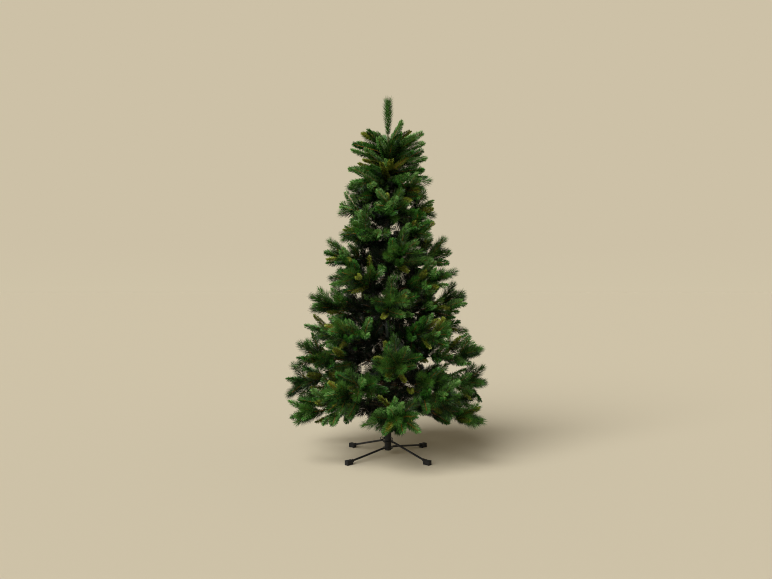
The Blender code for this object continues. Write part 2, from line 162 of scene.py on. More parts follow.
def glossy_finish(name, patches, patch_ends, gloss, skin, grain):
    """A new material, glossier in some patches than in others, with a fine uneven skin."""
    made = bpy.data.materials.new(name)
    made.use_nodes = True
    nodes, links = made.node_tree.nodes, made.node_tree.links
    shader = nodes["Principled BSDF"]
    place = nodes.new("ShaderNodeTexCoord")
    noises = []
    for scale, detail in (patches, skin):
        noise = nodes.new("ShaderNodeTexNoise")
        noise.inputs["Scale"].default_value = scale
        noise.inputs["Detail"].default_value = detail
        links.new(place.outputs["Object"], noise.inputs["Vector"])
        noises.append(noise.outputs["Fac"])
    sheen = nodes.new("ShaderNodeMapRange")
    sheen.inputs["From Min"].default_value, sheen.inputs["From Max"].default_value = patch_ends
    sheen.inputs["To Min"].default_value, sheen.inputs["To Max"].default_value = gloss
    links.new(noises[0], sheen.inputs["Value"])
    links.new(sheen.outputs["Result"], shader.inputs["Roughness"])
    bumps = nodes.new("ShaderNodeBump")
    bumps.inputs["Distance"].default_value = grain
    links.new(noises[1], bumps.inputs["Height"])
    links.new(bumps.outputs["Normal"], shader.inputs["Normal"])
    return made, shader, noises[0]


def finished_metal(name, dark, light, gloss, metallic=0.0, speckle=70.0, grain=0.00006):
    """Paint, plating or rubber with a faint mottle, an uneven gloss and an orange-peel skin."""
    made, shader, mottle = glossy_finish(
        name, (speckle, MOTTLE_DETAIL), PAINT_GLOSS_ENDS, gloss, PEEL, grain)
    shader.inputs["Metallic"].default_value = metallic
    shader.inputs["Specular IOR Level"].default_value = PAINT_SPECULAR
    shades = made.node_tree.nodes.new("ShaderNodeValToRGB")
    ends = shades.color_ramp.elements
    ends[0].position, ends[1].position = MOTTLE_ENDS
    ends[0].color, ends[1].color = (*dark, 1.0), (*light, 1.0)
    made.node_tree.links.new(mottle, shades.inputs["Fac"])
    made.node_tree.links.new(shades.outputs["Color"], shader.inputs["Base Color"])
    return made


black_paint = finished_metal(
    "black_paint", (0.0030, 0.0030, 0.0035), (0.0090, 0.0085, 0.0080), gloss=(0.36, 0.55))
cup = drawn_out("socket_cup", SOCKET_OUTLINE, SOCKET_SIDES)
nut = start_piece(
    "nut", bpy.ops.mesh.primitive_cylinder_add, vertices=6, radius=NUT_RADIUS,
    depth=NUT_FACE - NUT_FOOT, rotation=(0, math.pi / 2, 0),
    location=((NUT_FOOT + NUT_FACE) / 2, 0, BOLT_HEIGHT))
bpy.ops.mesh.bevel(offset=NUT_CHAMFER, segments=2, affect="EDGES")
bpy.ops.object.mode_set(mode="OBJECT")
for face in nut.data.polygons:
    face.select = face.normal.x > 0.99
bpy.ops.object.mode_set(mode="EDIT")
bpy.ops.mesh.inset(thickness=NUT_RIM)
bpy.ops.transform.translate(value=(-NUT_DISH, 0, 0))
finish_piece(nut)
weld = start_piece(
    "weld", bpy.ops.mesh.primitive_torus_add, major_radius=WELD_RADIUS, minor_radius=WELD_BEAD,
    major_segments=24, minor_segments=8, rotation=(0, math.pi / 2, 0),
    location=(WELD_AT, 0, BOLT_HEIGHT))
bpy.ops.transform.vertex_random(offset=WELD_ROUGHNESS, seed=SEED)
finish_piece(weld, degrees=80)
nut_with_weld = joined("nut_with_weld", [nut, weld])
nuts = [turned_copy(nut_with_weld, f"nut_{degrees}", degrees) for degrees in BOLT_BEARINGS]
bpy.data.objects.remove(nut_with_weld)
socket = joined("socket", [cup, *nuts], black_paint)
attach(socket, "root")
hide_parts("stand_socket")


# --- Stand bars ----------------------------------------------------------------------
# Two black bars cross under the pole. Each is a pressed disc round the socket with an arm
# of steel tube riveted to either side, flattened where it meets the disc and bent to slope.

DISC_SIDES, DISC_EDGE, DISC_HOLE, DISC_HALF = 40, 0.0270, 0.01745, 0.0020
DISC_OUTLINE = (  # radius from the hole's or the edge's, height from the middle plane, all round
    (DISC_HOLE, -DISC_HALF + 0.0004), (DISC_HOLE + 0.0004, -DISC_HALF),
    (DISC_EDGE - 0.0030, -DISC_HALF), (DISC_EDGE - 0.0012, -DISC_HALF - 0.0006),
    (DISC_EDGE, -DISC_HALF), (DISC_EDGE, DISC_HALF - 0.0010),
    (DISC_EDGE - 0.0006, DISC_HALF - 0.0002), (DISC_EDGE - 0.0018, DISC_HALF),
    (DISC_HOLE + 0.0016, DISC_HALF), (DISC_HOLE + 0.0006, DISC_HALF + 0.0007),
    (DISC_HOLE, DISC_HALF + 0.0004), (DISC_HOLE, -DISC_HALF + 0.0004),
)
ARM_RADIUS, ARM_ROOT, KNEE, KNEE_BEND = 0.0050, 0.0215, 0.0420, 0.030
ARM_FLATTENED = (0.70, 0.50)  # width and height of the flattened end, from the round tube's
ARM_WIDENS = (  # place along the arm, times wider, times higher, until it is round
    (0.0222, 1.60, 1.0), (0.0265, 1.05, 1.0), (0.0285, 0.94, 1.12), (0.0330, 0.905, 1.786),
)
RIVET_RADIUS, RIVET_AT, RIVET_MIDDLE, RIVET_FOOT, RIVET_FLATTENED = 0.0028, 0.0246, 0.0022, 0.0021, 0.62
FOOT_REACH, FOOT_AXIS = 0.2620, 0.0125
BARS = {"stand_upper_bar": (0.0710, 135), "stand_lower_bar": (0.0400, 225)}  # height, bearing

for bar, (height, degrees) in BARS.items():
    outline = [(radius, height + above) for radius, above in DISC_OUTLINE]
    disc = drawn_out(bar + "_disc", outline, DISC_SIDES, ring=True)
    arm = start_piece(
        bar + "_arm", bpy.ops.mesh.primitive_circle_add, vertices=20, radius=ARM_RADIUS,
        fill_type="NGON", rotation=(0, math.pi / 2, 0), location=(ARM_ROOT, 0, height))
    bpy.ops.transform.resize(value=(1, *ARM_FLATTENED), center_override=(ARM_ROOT, 0, height))
    at = ARM_ROOT
    for further, wide, high in ARM_WIDENS:
        bpy.ops.mesh.extrude_region_move(TRANSFORM_OT_translate={"value": (further - at, 0, 0)})
        bpy.ops.transform.resize(value=(1, wide, high), center_override=(further, 0, height))
        at = further
    slope = math.atan2(height - FOOT_AXIS, FOOT_REACH - KNEE)
    lead = KNEE_BEND * math.tan(slope / 2)
    bpy.ops.mesh.extrude_region_move(TRANSFORM_OT_translate={"value": (KNEE - lead - at, 0, 0)})
    bpy.ops.mesh.spin(
        steps=6, angle=-slope, center=(KNEE - lead, 0, height - KNEE_BEND), axis=(0, 1, 0))
    run = math.hypot(height - FOOT_AXIS, FOOT_REACH - KNEE) - lead
    bpy.ops.mesh.extrude_region_move(
        TRANSFORM_OT_translate={"value": (run * math.cos(slope), 0, -run * math.sin(slope))})
    finish_piece(arm, degrees=50)
    rivet_place = (RIVET_AT, 0, height + RIVET_MIDDLE)
    rivet = start_piece(
        bar + "_rivet", bpy.ops.mesh.primitive_uv_sphere_add, segments=16, ring_count=8,
        radius=RIVET_RADIUS, location=rivet_place)
    bpy.ops.transform.resize(value=(1, 1, RIVET_FLATTENED), center_override=rivet_place)
    bpy.ops.mesh.bisect(
        plane_co=(0, 0, height + RIVET_FOOT), plane_no=(0, 0, -1), use_fill=True, clear_outer=True)
    finish_piece(rivet, degrees=60)
    arm = joined(bar + "_arm", [arm, rivet])
    halves = [turned_copy(arm, f"{bar}_arm_{at}", at) for at in (degrees, degrees + 180)]
    bpy.data.objects.remove(arm)
    whole = joined(bar.replace("stand_", "crossed_"), [disc, *halves], black_paint)
    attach(whole, "root")
    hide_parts(bar)


# --- Stand feet ------------------------------------------------------------------------
# A ribbed cap of moulded black rubber, with a short round sleeve, is pushed over the end of
# each arm and stands on the floor.

FOOT_SIZE, FOOT_ROUNDING, GROOVE_DEPTH = (0.036, 0.021, 0.022), 0.0016, 0.0009
GROOVES = [(0.0080 + 0.0060 * rib, 0.0100 + 0.0060 * rib) for rib in range(3)]  # from the inner end
SLEEVE_BACK = 0.0270  # how far the sleeve stands behind the arm's end
SLEEVE_OUTLINE = (  # radius and height
    (0.0052, 0.0), (0.0070, 0.0), (0.0076, 0.0006), (0.0078, 0.0016), (0.0074, 0.0026),
    (0.0074, 0.0120), (0.0052, 0.0120), (0.0052, 0.0),
)
FEET = {
    "foot_upper_1": (135, "stand_upper_bar"), "foot_upper_2": (315, "stand_upper_bar"),
    "foot_lower_1": (225, "stand_lower_bar"), "foot_lower_2": (45, "stand_lower_bar"),
}

rubber = finished_metal(
    "foot_rubber", (0.0050, 0.0050, 0.0050), (0.0150, 0.0145, 0.0135), gloss=(0.72, 0.92),
    speckle=140.0, grain=0.00010)
for node, (degrees, bar) in FEET.items():
    cap = start_piece(
        node + "_cap", bpy.ops.mesh.primitive_cube_add, size=1,
        location=(FOOT_REACH, 0, FOOT_SIZE[2] / 2), scale=FOOT_SIZE)
    inner_end = FOOT_REACH - FOOT_SIZE[0] / 2
    for groove in GROOVES:
        for side in groove:
            bpy.ops.mesh.select_all(action="SELECT")
            bpy.ops.mesh.bisect(plane_co=(inner_end + side, 0, 0), plane_no=(1, 0, 0))
    bpy.ops.object.mode_set(mode="OBJECT")
    for face in cap.data.polygons:
        in_groove = any(near < face.center.x - inner_end < far for near, far in GROOVES)
        face.select = in_groove and face.normal.z > -0.5 and abs(face.normal.x) < 0.5
    bpy.ops.object.mode_set(mode="EDIT")
    bpy.ops.mesh.extrude_region_shrink_fatten(TRANSFORM_OT_shrink_fatten={"value": -GROOVE_DEPTH})
    bpy.ops.object.mode_set(mode="OBJECT")
    rounding = cap.modifiers.new("rounding", "BEVEL")
    rounding.width, rounding.segments, rounding.limit_method = FOOT_ROUNDING, 3, "ANGLE"
    bpy.ops.object.modifier_apply(modifier="rounding")
    finish_piece(cap, degrees=40)
    slope = math.atan2(BARS[bar][0] - FOOT_AXIS, FOOT_REACH - KNEE)
    sleeve = drawn_out(node + "_sleeve", SLEEVE_OUTLINE, 24, ring=True)
    mouth = Matrix.Translation((FOOT_REACH, 0, FOOT_AXIS)) @ Matrix.Rotation(math.pi / 2 + slope, 4, "Y")
    placed(sleeve, mouth @ Matrix.Translation((0, 0, -SLEEVE_BACK)))
    cap = joined(node + "_rubber", [cap, sleeve], rubber)
    placed(cap, Matrix.Rotation(math.radians(degrees), 4, "Z"))
    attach(cap, "root")
    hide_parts(node)


# --- Eye bolts ---------------------------------------------------------------------------
# Three bolts of dark plated steel hold the pole. Each is a wire rolled with a thread and
# bent into an eye that fingers can turn, with a small gap where the eye closes.

SHANK_RADIUS, SHANK_POINT, SHANK_NECK, THREAD_CORE = 0.0030, 0.0021, 0.0018, 0.0025
SHANK_TIP, SHANK_END, SHANK_CHAMFER = 0.0131, 0.0255, 0.0005
THREAD_PITCH, THREAD_FLAT, THREAD_FALL, THREAD_RUNOUT = 0.0010, 0.0001, 0.0005, 0.002
EYE_AT, EYE_RADIUS, EYE_WIRE, EYE_TURN = 0.0315, 0.0065, 0.0018, 336

plating = finished_metal(
    "dark_plating", (0.022, 0.022, 0.024), (0.050, 0.048, 0.044), gloss=(0.24, 0.42),
    metallic=0.75, speckle=160.0)
thread = [(SHANK_POINT, SHANK_TIP), (THREAD_CORE, SHANK_TIP + SHANK_CHAMFER)]
for number in range(round((SHANK_END - SHANK_TIP - THREAD_RUNOUT) / THREAD_PITCH)):
    crest = SHANK_TIP + SHANK_CHAMFER + THREAD_PITCH * (number + 0.5)
    thread += [(SHANK_RADIUS, crest - THREAD_FLAT), (SHANK_RADIUS, crest + THREAD_FLAT)]
    thread += [(THREAD_CORE, crest + THREAD_FALL)]
thread += [(THREAD_CORE, SHANK_END - 0.0008), (SHANK_NECK, SHANK_END + 0.0006)]
shank = drawn_out("shank", thread, 20)
placed(shank, Matrix.Translation((0, 0, BOLT_HEIGHT)) @ Matrix.Rotation(math.pi / 2, 4, "Y"))
eye = start_piece(
    "eye", bpy.ops.mesh.primitive_circle_add, vertices=14, radius=EYE_WIRE, fill_type="NGON",
    location=(EYE_AT - EYE_RADIUS, 0, BOLT_HEIGHT))
bpy.ops.mesh.spin(
    steps=36, angle=math.radians(EYE_TURN), center=(EYE_AT, 0, BOLT_HEIGHT), axis=(0, 1, 0))
finish_piece(eye, degrees=60)
bolt = joined("bolt", [shank, eye], plating)
for number, degrees in enumerate(BOLT_BEARINGS):
    piece = turned_copy(bolt, f"threaded_eye_bolt_{number + 1}", degrees)
    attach(piece, "root")
    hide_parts(f"eye_bolt_{number + 1}")
bpy.data.objects.remove(bolt)


# --- Pole ----------------------------------------------------------------------------
# Two steel tubes in satin dark green, the upper one pushed into the lower and held by a
# rolled groove. A pressed collar with two flanges is fixed on it for each tier.

TIERS = (  # collar height, branches, bearing of the first, rise in degrees
    (0.262, 6, 270, 2),
    (0.358, 6, 300, 5),
    (0.465, 5, 272, 9),
    (0.582, 5, 236, 12),
    (0.700, 5, 274, 15),
    (0.815, 4, 236, 18),
    (0.930, 4, 280, 21),
    (1.045, 4, 234, 24),
    (1.160, 4, 278, 27),
    (1.270, 4, 234, 31),
)
POLE_FOOT, POLE_JOINT, POLE_TOP = 0.0315, 0.800, 1.320
LOWER_TUBE, UPPER_TUBE, POLE_SIDES, PRESSED_ON = 0.0125, 0.0110, 32, 0.0001
COLLAR_RADIUS, COLLAR_HALF, COLLAR_CORE, FLANGE = 0.0190, 0.008, 0.0152, 0.0017

pole_paint = finished_metal(
    "pole_paint", (0.008, 0.016, 0.009), (0.018, 0.034, 0.018), gloss=(0.34, 0.55))
tubes = drawn_out("tubes", (
    (0.0105, POLE_FOOT), (LOWER_TUBE - 0.0006, POLE_FOOT), (LOWER_TUBE, POLE_FOOT + 0.0008),
    (LOWER_TUBE, POLE_JOINT - 0.0220), (LOWER_TUBE - 0.0004, POLE_JOINT - 0.0205),
    (LOWER_TUBE - 0.0007, POLE_JOINT - 0.0190), (LOWER_TUBE - 0.0004, POLE_JOINT - 0.0175),
    (LOWER_TUBE, POLE_JOINT - 0.0160), (LOWER_TUBE, POLE_JOINT - 0.0008),
    (LOWER_TUBE - 0.0005, POLE_JOINT), (UPPER_TUBE + 0.0002, POLE_JOINT),
    (UPPER_TUBE, POLE_JOINT - 0.0004), (UPPER_TUBE, POLE_TOP - 0.0030),
    (UPPER_TUBE - 0.0006, POLE_TOP - 0.0012), (UPPER_TUBE - 0.0020, POLE_TOP),
    (0.0040, POLE_TOP), (0.0034, POLE_TOP - 0.0020),
), POLE_SIDES)
collars = []
for number, (height, *_) in enumerate(TIERS):
    bore = (LOWER_TUBE if height < POLE_JOINT else UPPER_TUBE) - PRESSED_ON
    low, high = height - COLLAR_HALF, height + COLLAR_HALF
    collars.append(drawn_out(f"collar_{number + 1}", (
        (bore, low), (COLLAR_RADIUS - 0.0004, low), (COLLAR_RADIUS, low + 0.0004),
        (COLLAR_RADIUS, low + FLANGE - 0.0004), (COLLAR_RADIUS - 0.0004, low + FLANGE),
        (COLLAR_CORE + 0.0006, low + FLANGE), (COLLAR_CORE, low + FLANGE + 0.0006),
        (COLLAR_CORE, high - FLANGE - 0.0006), (COLLAR_CORE + 0.0006, high - FLANGE),
        (COLLAR_RADIUS - 0.0004, high - FLANGE), (COLLAR_RADIUS, high - FLANGE + 0.0004),
        (COLLAR_RADIUS, high - 0.0004), (COLLAR_RADIUS - 0.0004, high),
        (bore + 0.0016, high), (bore + 0.0006, high + 0.0007), (bore, high + 0.0007), (bore, low),
    ), POLE_SIDES, ring=True))
steel_pole = joined("steel_pole", [tubes, *collars], pole_paint)
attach(steel_pole, "root")
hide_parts("pole")


# --- Branch wires --------------------------------------------------------------
# Forty-seven steel wires hang on the pole in ten tiers, steeper towards the top, and
# a stiff upright wire carries the leader. Each is bent a little down and aside.

CLEARANCE = 0.0003
CROWN_FOOT, CROWN_WIDEST, CROWN_RADIUS, FOOT_TUCK = 0.170, 0.290, 0.525, 0.060
SHOULDER_HEIGHT, SHOULDER_RADIUS = 1.630, 0.150
BEARING_SPREAD, RISE_SPREAD, REACH_SPREAD, REACH_ENDS = 6.0, 3.0, 0.04, (-0.7, 0.5)
SAG, BOW, WIRE_PIECES, WIRE_ROOT, END_TWIG = 0.20, 0.18, 3, 0.0042, 0.130
LEADER_WIRE, TREE_TOP = 1.700, 1.800
UP = Vector((0, 0, 1))


def bearing(degrees):
    """The level way out at a bearing."""
    angle = math.radians(degrees)
    return Vector((math.cos(angle), math.sin(angle), 0.0))


def crown_radius(height):
    """How far the crown reaches at a height."""
    if height < CROWN_WIDEST:
        below = (CROWN_WIDEST - height) / (CROWN_WIDEST - CROWN_FOOT)
        return CROWN_RADIUS - FOOT_TUCK * below**2
    share = (height - CROWN_WIDEST) / (SHOULDER_HEIGHT - CROWN_WIDEST)
    return CROWN_RADIUS + (SHOULDER_RADIUS - CROWN_RADIUS) * share


def branch_wire(tier, index):
    """The corners of a branch's wire, from its collar to where its last twig starts."""
    height, count, first, rise = TIERS[tier]
    rule = random.Random(SEED + 100 * tier + index)
    out = bearing(first + index * 360 / count + rule.uniform(-1, 1) * BEARING_SPREAD)
    side = Vector((-out.y, out.x, 0.0))
    slope = math.tan(math.radians(rise + rule.uniform(-1, 1) * RISE_SPREAD))
    bow = rule.uniform(-1, 1) * BOW
    run = crown_radius(height) - COLLAR_RADIUS
    tip_height = height + slope * run - SAG * run**2
    reach = crown_radius(tip_height) * (1 + rule.uniform(*REACH_ENDS) * REACH_SPREAD)
    root = COLLAR_RADIUS + CLEARANCE + WIRE_ROOT * math.sin(math.atan(slope))
    run = reach - END_TWIG - root
    points = []
    for step in range(WIRE_PIECES + 1):
        along = run * step / WIRE_PIECES
        lift = slope * along - SAG * along**2
        points.append(out * (root + along) + side * (bow * along**2) + Vector((0, 0, height + lift)))
    return points


def leader_wire():
    """The corners of the leader's upright wire."""
    foot = POLE_TOP + CLEARANCE
    heights = [foot + (LEADER_WIRE - foot) * step / WIRE_PIECES for step in range(WIRE_PIECES + 1)]
    return [Vector((0, 0, height)) for height in heights]


wires = {"crown_top": leader_wire()}
wire_tiers = {}
for tier, (_, count, _, _) in enumerate(TIERS):
    for index in range(count):
        branch = f"tier_{tier + 1:02d}_branch_{index + 1}"
        wires[branch] = branch_wire(tier, index)
        wire_tiers[branch] = tier
wires["crown_top"] = wires.pop("crown_top")  # last, as it is put on last


# --- Branch hinges ---------------------------------------------------------------
# Each branch wire is crimped into a folded steel clip that turns on a pin between the
# flanges of its collar, so the branches fold up for storage. Same green paint.

PIN_AT, CLIP_BACK, CLIP_END = 0.0170, -0.0014, 0.0135
CLIP_WIDTH, CLIP_HEIGHT, CLIP_WALL, CLIP_ROUNDING = 0.0066, 0.0078, 0.0008, 0.0010
PIN_OUTLINE = (  # radius and height, with a head at either end
    (0.0012, -0.0090), (0.0017, -0.0087), (0.0017, -0.0081), (0.0011, -0.0081), (0.0011, 0.0081),
    (0.0017, 0.0081), (0.0017, 0.0087), (0.0012, 0.0090),
)


def level_across(direction):
    """The level way across a direction."""
    level = UP.cross(direction)
    return level.normalized() if level.length > 1e-3 else Vector((0, 1, 0))


def twig_frame(place, direction, roll):
    """Matrix at a twig's root, with X along it."""
    across = Matrix.Rotation(roll, 3, direction) @ level_across(direction)
    x = direction.normalized()
    z = x.cross(across).normalized()
    return Matrix.Translation(place) @ Matrix((x, z.cross(x), z)).transposed().to_4x4()


pin = drawn_out("pin", PIN_OUTLINE, 10)
clip = start_piece(
    "clip", bpy.ops.mesh.primitive_cube_add, size=1, location=((CLIP_BACK + CLIP_END) / 2, 0, 0),
    scale=(CLIP_END - CLIP_BACK, CLIP_WIDTH, CLIP_HEIGHT))
bpy.ops.object.mode_set(mode="OBJECT")
for face in clip.data.polygons:
    face.select = face.normal.z > 0.9
bpy.ops.object.mode_set(mode="EDIT")
bpy.ops.mesh.inset(thickness=CLIP_WALL)
bpy.ops.mesh.extrude_region_move(TRANSFORM_OT_translate={"value": (0, 0, CLIP_WALL - CLIP_HEIGHT)})
bpy.ops.object.mode_set(mode="OBJECT")
for edge in clip.data.edges:  # the upright corners at the open end
    ends = [clip.data.vertices[number].co for number in edge.vertices]
    at_end = all(end.x > CLIP_END - MERGE for end in ends)
    edge.select = at_end and all(abs(end.z) > 0.75 * CLIP_HEIGHT / 2 for end in ends)
bpy.ops.object.mode_set(mode="EDIT")
bpy.ops.mesh.bevel(offset=CLIP_ROUNDING, segments=2, affect="EDGES")
finish_piece(clip)
hinge_parts = []
for branch, tier in wire_tiers.items():
    line = wires[branch]
    out = line[0].xy.normalized().to_3d()
    at = Matrix.Translation(out * PIN_AT + Vector((0, 0, TIERS[tier][0])))
    hinge_parts.append(copied(pin, branch + "_pin", at))
    hinge_parts.append(copied(clip, branch + "_clip", at @ twig_frame(Vector(), line[1] - line[0], 0.0)))
for pattern in (pin, clip):
    bpy.data.objects.remove(pattern)
hinges = joined("branch_hinges", hinge_parts, pole_paint)
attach(hinges, "root")
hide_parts("pole")


# --- Twigs -----------------------------------------------------------------------
# Thinner wires are wound on to each branch wire, further round it each time and longer
# towards the pole, and fork once or twice. Each branch keeps its twigs to its own space.

FIRST_TWIG, TWIG_STEP = (0.075, 0.032), (0.0405, 0.0195)  # at the lowest tier and the highest
MIDDLING, LONGEST, GROWS_INWARD, LENGTH_DRAW = 0.130, 0.230, 0.40, (0.92, 1.08)
SPLAY, SPLAY_DRAW, FLATTEN, ROUND_STEP = (56.0, 36.0), 6, (0.85, 1.0), 137.5
TRIES, NEARER, SHORTER, END_OVERLAP = 7, 0.88, 0.945, 0.012
KEEP_OFF, OUTSIDE = 0.003, 1.02
PINE, SOFT, MOULDED, SHADED, LEADER, GARLAND = "pine", "soft", "moulded", "inner", "leader", "garland"
TWIG_KINDS, LAST_KINDS = ((MOULDED, 0.26), (PINE, 0.38)), ((PINE, 0.66),)  # draws under each number
HALF_WIDTHS, WIDENS = {PINE: 0.037, SOFT: 0.035, MOULDED: 0.031}, 0.18
SPINE = (0.3, 0.5, 0.75, 1.0)
WHORLS = {  # shares of the length and of the half width
    PINE: ((0.36, 0.70), (0.42, 0.35), (0.84, 1.0)),
    SOFT: ((0.38, 1.0), (0.44, 0.45), (0.84, 0.85)),
    MOULDED: ((0.22, 0.85), (0.50, 0.75), (0.84, 0.90)),
}
RING_FOOT, RING_TOP, RING_COUNT, RING_BEARING = 1.345, 1.540, 20, 205
RING_SPLAY, RING_LENGTH, RING_DRAW, RING_CORE = (57.0, 46.0), (0.185, 0.150), (0.94, 1.05), 0.7


def spot_on(line, along):
    """The place at a length along a wire, and the way ahead there."""
    for start, end in zip(line, line[1:]):
        piece = (end - start).length
        if along <= piece or end is line[-1]:
            return start + (end - start) * (along / piece), (end - start).normalized()
        along -= piece


def swung(ahead, aside, angle):
    """The way ahead, swung aside by an angle."""
    return ahead * math.cos(angle) + aside * math.sin(angle)


def between(pair, share):
    """A value that goes evenly from one end to the other."""
    return pair[0] + (pair[1] - pair[0]) * share


def by_tier(pair, tier):
    """A value that goes evenly from the lowest tier to the highest."""
    return pair[0] + (pair[1] - pair[0]) * tier / (len(TIERS) - 1)


def drawn_kind(rule, kinds):
    """A kind of needles, soft where the draw is over all the numbers."""
    pick = rule.random()
    return next((kind for kind, number in kinds if pick < number), SOFT)


def twig_outline(frame, kind, length):
    """Places that show how far a twig's needles reach."""
    half_width = HALF_WIDTHS[kind] + WIDENS * (length - MIDDLING)
    spots = [(share * length, 0.0, 0.0) for share in SPINE]
    for number, (share, width) in enumerate(WHORLS[kind]):
        for corner in range(3):
            angle = (number + 2 * corner) * math.pi / 3
            radius = width * half_width
            spots.append((share * length, radius * math.cos(angle), radius * math.sin(angle)))
    return [frame @ Vector(spot) for spot in spots]


def in_own_space(points, owner, keep_off=KEEP_OFF, outside=OUTSIDE):
    """True where every point is nearer to its own branch than to any other and inside the crown."""
    p = np.array([tuple(v) for v in points])[:, None, :]
    a, d = wire_ends[:, 0][None], (wire_ends[:, 1] - wire_ends[:, 0])[None]
    t = np.clip(((p - a) * d).sum(2) / (d * d).sum(2), 0, 1)
    gaps = np.linalg.norm(p - a - t[..., None] * d, axis=2)
    own, rest = gaps[:, wire_owners == owner].min(1), gaps[:, wire_owners != owner].min(1)
    if (rest - own).min() < 2 * keep_off:
        return False
    return all(v.z > CROWN_FOOT and v.xy.length < crown_radius(v.z) * outside for v in points)


def branch_twigs(line, tier, owner):
    """(frame, kind, length) of each twig on a branch, and of the one that ends it."""
    rule = random.Random(SEED + 7 * owner)
    total = sum((b - a).length for a, b in zip(line, line[1:]))
    found = []
    turn = rule.uniform(0, 360)
    first = by_tier(FIRST_TWIG, tier) - line[0].xy.length
    spacing = by_tier(TWIG_STEP, tier)
    for number in range(max(0, round((total - first) / spacing))):
        along = first + number * spacing
        place, ahead = spot_on(line, along)
        level = level_across(ahead)
        above = ahead.cross(level) * by_tier(FLATTEN, tier)
        turn += ROUND_STEP
        around = swung(level, above, math.radians(turn)).normalized()
        splay = SPLAY[0] + (SPLAY[1] - SPLAY[0]) * along / total
        splay = math.radians(splay + rule.uniform(-SPLAY_DRAW, SPLAY_DRAW))
        roll = rule.uniform(0, math.pi)
        kind = drawn_kind(rule, TWIG_KINDS)
        length = MIDDLING + GROWS_INWARD * max(0.0, total - along)
        length = min(LONGEST, length) * rule.uniform(*LENGTH_DRAW)
        for _ in range(TRIES):
            frame = twig_frame(place, swung(ahead, around, splay), roll)
            if in_own_space(twig_outline(frame, kind, length), owner):
                found.append((frame, kind, length))
                break
            splay *= NEARER
            length *= SHORTER
    place, ahead = spot_on(line, total)
    kind = drawn_kind(rule, LAST_KINDS)
    frame = twig_frame(place - ahead * END_OVERLAP, ahead, rule.uniform(0, math.pi))
    return found + [(frame, kind, END_TWIG + END_OVERLAP)]


def ring_twigs():
    """The twigs wound on to the leader's wire, under the leader."""
    found = []
    rule = random.Random(SEED - 1)
    for number in range(RING_COUNT):
        share = number / (RING_COUNT - 1)
        height = RING_FOOT + (RING_TOP - RING_FOOT) * share
        out = bearing(RING_BEARING + number * ROUND_STEP)
        direction = swung(UP, out, math.radians(between(RING_SPLAY, share)))
        kind = (SOFT, MOULDED, SOFT, PINE)[number % 4]
        frame = twig_frame(Vector((0, 0, height)), direction, rule.uniform(0, math.pi))
        found.append((frame, kind, between(RING_LENGTH, share) * rule.uniform(*RING_DRAW)))
    return found


ring = ring_twigs()
wire_ends, wire_owners = [], []
for owner, line in enumerate(wires.values()):
    wire_ends += [(tuple(start), tuple(end)) for start, end in zip(line, line[1:])]
    wire_owners += [owner] * WIRE_PIECES
for ring_frame, _, length in ring:
    core_end = ring_frame @ Vector((RING_CORE * length, 0, 0))
    wire_ends.append((tuple(ring_frame.translation), tuple(core_end)))
    wire_owners.append(len(wires) - 1)
wire_ends, wire_owners = np.array(wire_ends), np.array(wire_owners)

TWIG_BARE, TIP_BARE, TOP_BARE = 0.008, 0.006, 0.004  # bare wire at the foot
HUB_BACK, HUB_SPLAY, HUB_TURNS = 0.135, (30, 54), 7
SHORTEST_HUB, LOWEST_HUB, HUB_DENSITY = 0.02, 0.25, 0.5
FORKS_AGAIN, FORKS_AT = 0.055, 0.45
END_KINDS, SIDE_KINDS = ((PINE, 0.52), (MOULDED, 0.72)), ((MOULDED, 0.30), (PINE, 0.37))
TIP_LENGTH, TIP_WIDTH, CROSSES, TIP_SPINE = (0.112, 0.145), 0.018, 0.012, (0.45, 0.75, 1.0)
TIP_TRIES, TIP_NEARER, TIP_SHORTER, TIP_OUTSIDE = 3, 0.8, 0.94, 1.05
LOWEST_SIDE, HANGS_BELOW = -0.30, 0.42
LOWEST_END, LEVEL_ENOUGH, LIFTS = 0.205, 0.2, 0.05
FURTHEST, WIDER, SHORTEST, PULLS_IN = 0.503, 0.022, 0.03, 0.96
MOULDED_SHORTER = 0.86
AT_END, OUTLINE, FULLER = 0.86, 0.84, 1.25
FACE_UP, FACE_DRAW, DROOP_DRAW = 0.7, 0.6, (-1.0, 0.6)
tips = []  # (start, direction, length, length of bare wire, kind, droop, face, density)


def outward(place):
    """The way a tip's bare top turns: away from the pole and up."""
    level = Vector((place.x, place.y, 0.0))
    level = level.normalized() if level.length > 1e-4 else Vector((0, -1, 0))
    return (level + Vector((0, 0, FACE_UP))).normalized()


def add_tip(start, direction, length, bare, kind, rule, density=1.0):
    """A tip, kept off the floor and inside the crown, and fuller at the crown's outline."""
    direction = direction.normalized()
    end = start + direction * length
    density *= FULLER if end.xy.length > OUTLINE * crown_radius(end.z) else 1.0
    if kind == MOULDED:
        length *= MOULDED_SHORTER
    while (start + direction * length).z < LOWEST_END and direction.z < LEVEL_ENOUGH:
        direction = (direction + Vector((0, 0, LIFTS))).normalized()
    limit = FURTHEST + WIDER * abs(direction.x)
    while (start + direction * length).xy.length > limit and length > SHORTEST:
        length *= PULLS_IN
    aside = Vector([rule.uniform(-FACE_DRAW, FACE_DRAW) for _ in range(3)])
    face = outward(start + direction * length) + aside
    face = (face - direction * face.dot(direction)).normalized()
    tips.append((start, direction, length, bare, kind, rule.uniform(*DROOP_DRAW), face, density))


def spots_along(start, direction, length, shares):
    """Places along a tip, at shares of its length."""
    return [start + direction * (length * share) for share in shares]


